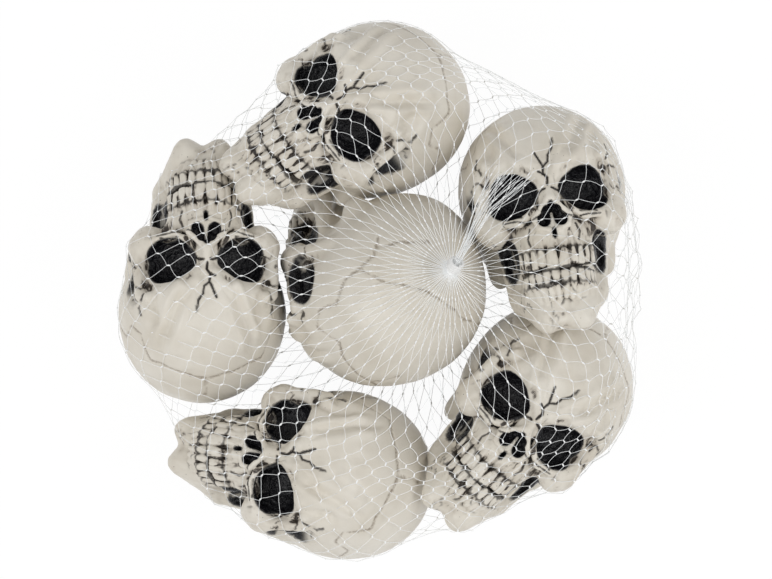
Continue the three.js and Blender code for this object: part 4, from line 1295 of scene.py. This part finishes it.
class SKULLBAG_OT_skulls(Operator):
    """Models the skull once and lays it in place of the six skull nodes"""

    bl_idname = "skullbag.skulls"
    bl_label = "Skulls"

    def execute(self, context):
        settings = context.scene.skull_bag_skulls
        clay, points, faces, masks = skull_surface(settings.detail / MM)
        local = forward_out(points)
        base = bpy.data.meshes.new("skull_mould")
        base.from_pydata(local.tolist(), [], faces)
        sheet = bmesh.new()
        sheet.from_mesh(base)
        bmesh.ops.recalc_face_normals(sheet, faces=sheet.faces)
        sheet.to_mesh(base)
        sheet.free()
        base.shade_smooth()
        base.materials.append(skull_finish(settings))
        give(base, "paint", "FLOAT_COLOR", np.column_stack(masks[:4]))
        give(base, "speck", "FLOAT", masks[4])
        MADE.update(clay=clay, seats=[], clouds=[])
        for number, node in enumerate(POSES):
            turn, place = seat_of(node)
            world = local @ turn.T + place
            mesh = base.copy()
            mesh.name = node + "_moulded"
            mesh.vertices.foreach_set("co", (world * MM).astype(np.float32).ravel())
            give(mesh, "mould", "FLOAT_VECTOR", local + GRAIN_SHIFT * number)
            mesh.update()
            dress(placed(mesh.name, mesh), node)
            MADE["seats"].append((turn, place))
            MADE["clouds"].append(world[::CLOUD_STRIDE])
        bpy.data.meshes.remove(base)
        return {"FINISHED"}


class SKULLBAG_OT_net(Operator):
    """Lays the net over the skulls, pulls it tight and draws its strands and beads"""

    bl_idname = "skullbag.net"
    bl_label = "Net"

    def execute(self, context):
        if not MADE:
            raise RuntimeError("the skulls come before the net")
        settings = context.scene.skull_bag_net
        around = Surroundings(MADE["clay"], MADE["seats"])
        skin = bag_skin(MADE["clouds"])
        places = settle_net(lay_net(skin, settings), around, settings)
        middle = settings.rows // 2 // 2 * 2
        pattern = strand_pattern()
        values = {
            "Strand radius": settings.strand_radius,
            "Bead width": settings.knot_width,
            "Bead length": settings.knot_length,
            "Material": net_finish(settings),
        }
        for mesh in (
            strand_mesh("net_under", places[: middle + 1], settings, around),
            strand_mesh("net_over", places[middle:], settings, around, middle),
            tail_mesh("net_tail", skin, settings),
        ):
            dress(pattern.apply(placed(mesh.name, mesh), values), "net_bag")
        return {"FINISHED"}


class SKULLBAG_OT_ties(Operator):
    """Winds the thread of the two ties round the gathered net"""

    bl_idname = "skullbag.ties"
    bl_label = "Ties"

    def execute(self, context):
        settings = context.scene.skull_bag_ties
        pattern = thread_pattern()
        values = {
            "Turns": settings.turns,
            "Coil radius": settings.coil_radius,
            "Coil height": settings.rise,
            "Thread radius": settings.thread_radius,
            "Material": tie_finish(settings),
        }
        for node, way in (("top_tie", TIE_WAY), ("bottom_tie", (0, 0, 1))):
            low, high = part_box(node)
            name = node + "_thread"
            piece = pattern.apply(placed(name, bpy.data.meshes.new(name)), values)
            turn = Vector((0, 0, 1)).rotation_difference(Vector(way)).to_matrix().to_4x4()
            turn.translation = (low + high) / 2 - turn @ Vector((0, 0, settings.rise / 2))
            piece.data.transform(turn)
            dress(piece, node)
        return {"FINISHED"}


class SKULLBAG_OT_stage(Operator):
    """Sets the white table, the soft lights, the room and the camera straight above"""

    bl_idname = "skullbag.stage"
    bl_label = "Stage"

    def execute(self, context):
        scene, settings = context.scene, context.scene.skull_bag_stage
        half, drop = 3.0, -0.0002
        mesh = bpy.data.meshes.new("table")
        corners = [(half * x, half * y, drop) for x, y in ((-1, -1), (1, -1), (1, 1), (-1, 1))]
        mesh.from_pydata(corners, [], [(0, 1, 2, 3)])
        mesh.materials.append(floor_finish(settings))
        placed("table", mesh)
        lamps = (("key", (-1.0, -0.4, 1.25), 1, 0.9), ("fill", (1.1, -0.25, 1.1), 0.95, 1.0))
        for name, place, share, width in lamps:
            light = bpy.data.lights.new(name, "AREA")
            light.energy, light.size = settings.key * share, width
            lamp = placed(name, light)
            lamp.location = place
            lamp.rotation_euler = (Vector((0, 0, 0.04)) - Vector(place)).to_track_quat("-Z", "Y").to_euler()
        world = bpy.data.worlds.new("room")
        world.use_nodes = True
        room = Nodes(world.node_tree)
        seen = room.add("ShaderNodeLightPath")["Is Camera Ray"]
        strength = room.add("ShaderNodeMix", {0: seen, 2: settings.ambient, 3: 1.0})[0]
        glow = room.add("ShaderNodeBackground", {"Color": (1, 1, 1, 1), "Strength": strength})[0]
        room.add("ShaderNodeOutputWorld", {0: glow})
        scene.world = world
        camera = placed("camera", bpy.data.cameras.new("camera"))
        camera.data.lens, camera.data.sensor_width = settings.lens, 36.0
        camera.location = (0.0025, 0.00135, settings.height)
        scene.camera = camera
        scene.view_settings.view_transform = "Standard"
        return {"FINISHED"}


class SKULLBAG_PT_panel(Panel):
    """The bag's pieces in the sidebar"""

    bl_label = "Skull bag"
    bl_idname = "SKULLBAG_PT_panel"
    bl_space_type = "VIEW_3D"
    bl_region_type = "UI"
    bl_category = "Skull bag"

    def draw(self, context):
        for operator, group, _ in GROUPS:
            box = self.layout.box()
            box.operator(operator.bl_idname)
            settings = getattr(context.scene, group)
            for name in type(settings).__annotations__:
                box.prop(settings, name)


GROUPS = (
    (SKULLBAG_OT_skulls, "skull_bag_skulls", SkullSettings),
    (SKULLBAG_OT_net, "skull_bag_net", NetSettings),
    (SKULLBAG_OT_ties, "skull_bag_ties", TieSettings),
    (SKULLBAG_OT_stage, "skull_bag_stage", StageSettings),
)
CLASSES = (*(kind for _, _, kind in GROUPS), *(operator for operator, _, _ in GROUPS), SKULLBAG_PT_panel)


def register():
    for item in CLASSES:
        bpy.utils.register_class(item)
    for _, group, kind in GROUPS:
        setattr(bpy.types.Scene, group, PointerProperty(type=kind))


def unregister():
    for _, group, _ in GROUPS:
        delattr(bpy.types.Scene, group)
    for item in reversed(CLASSES):
        bpy.utils.unregister_class(item)


def main():
    register()
    bpy.ops.skullbag.skulls()
    bpy.ops.skullbag.net()
    bpy.ops.skullbag.ties()
    bpy.ops.skullbag.stage()


if __name__ == "__main__":
    main()
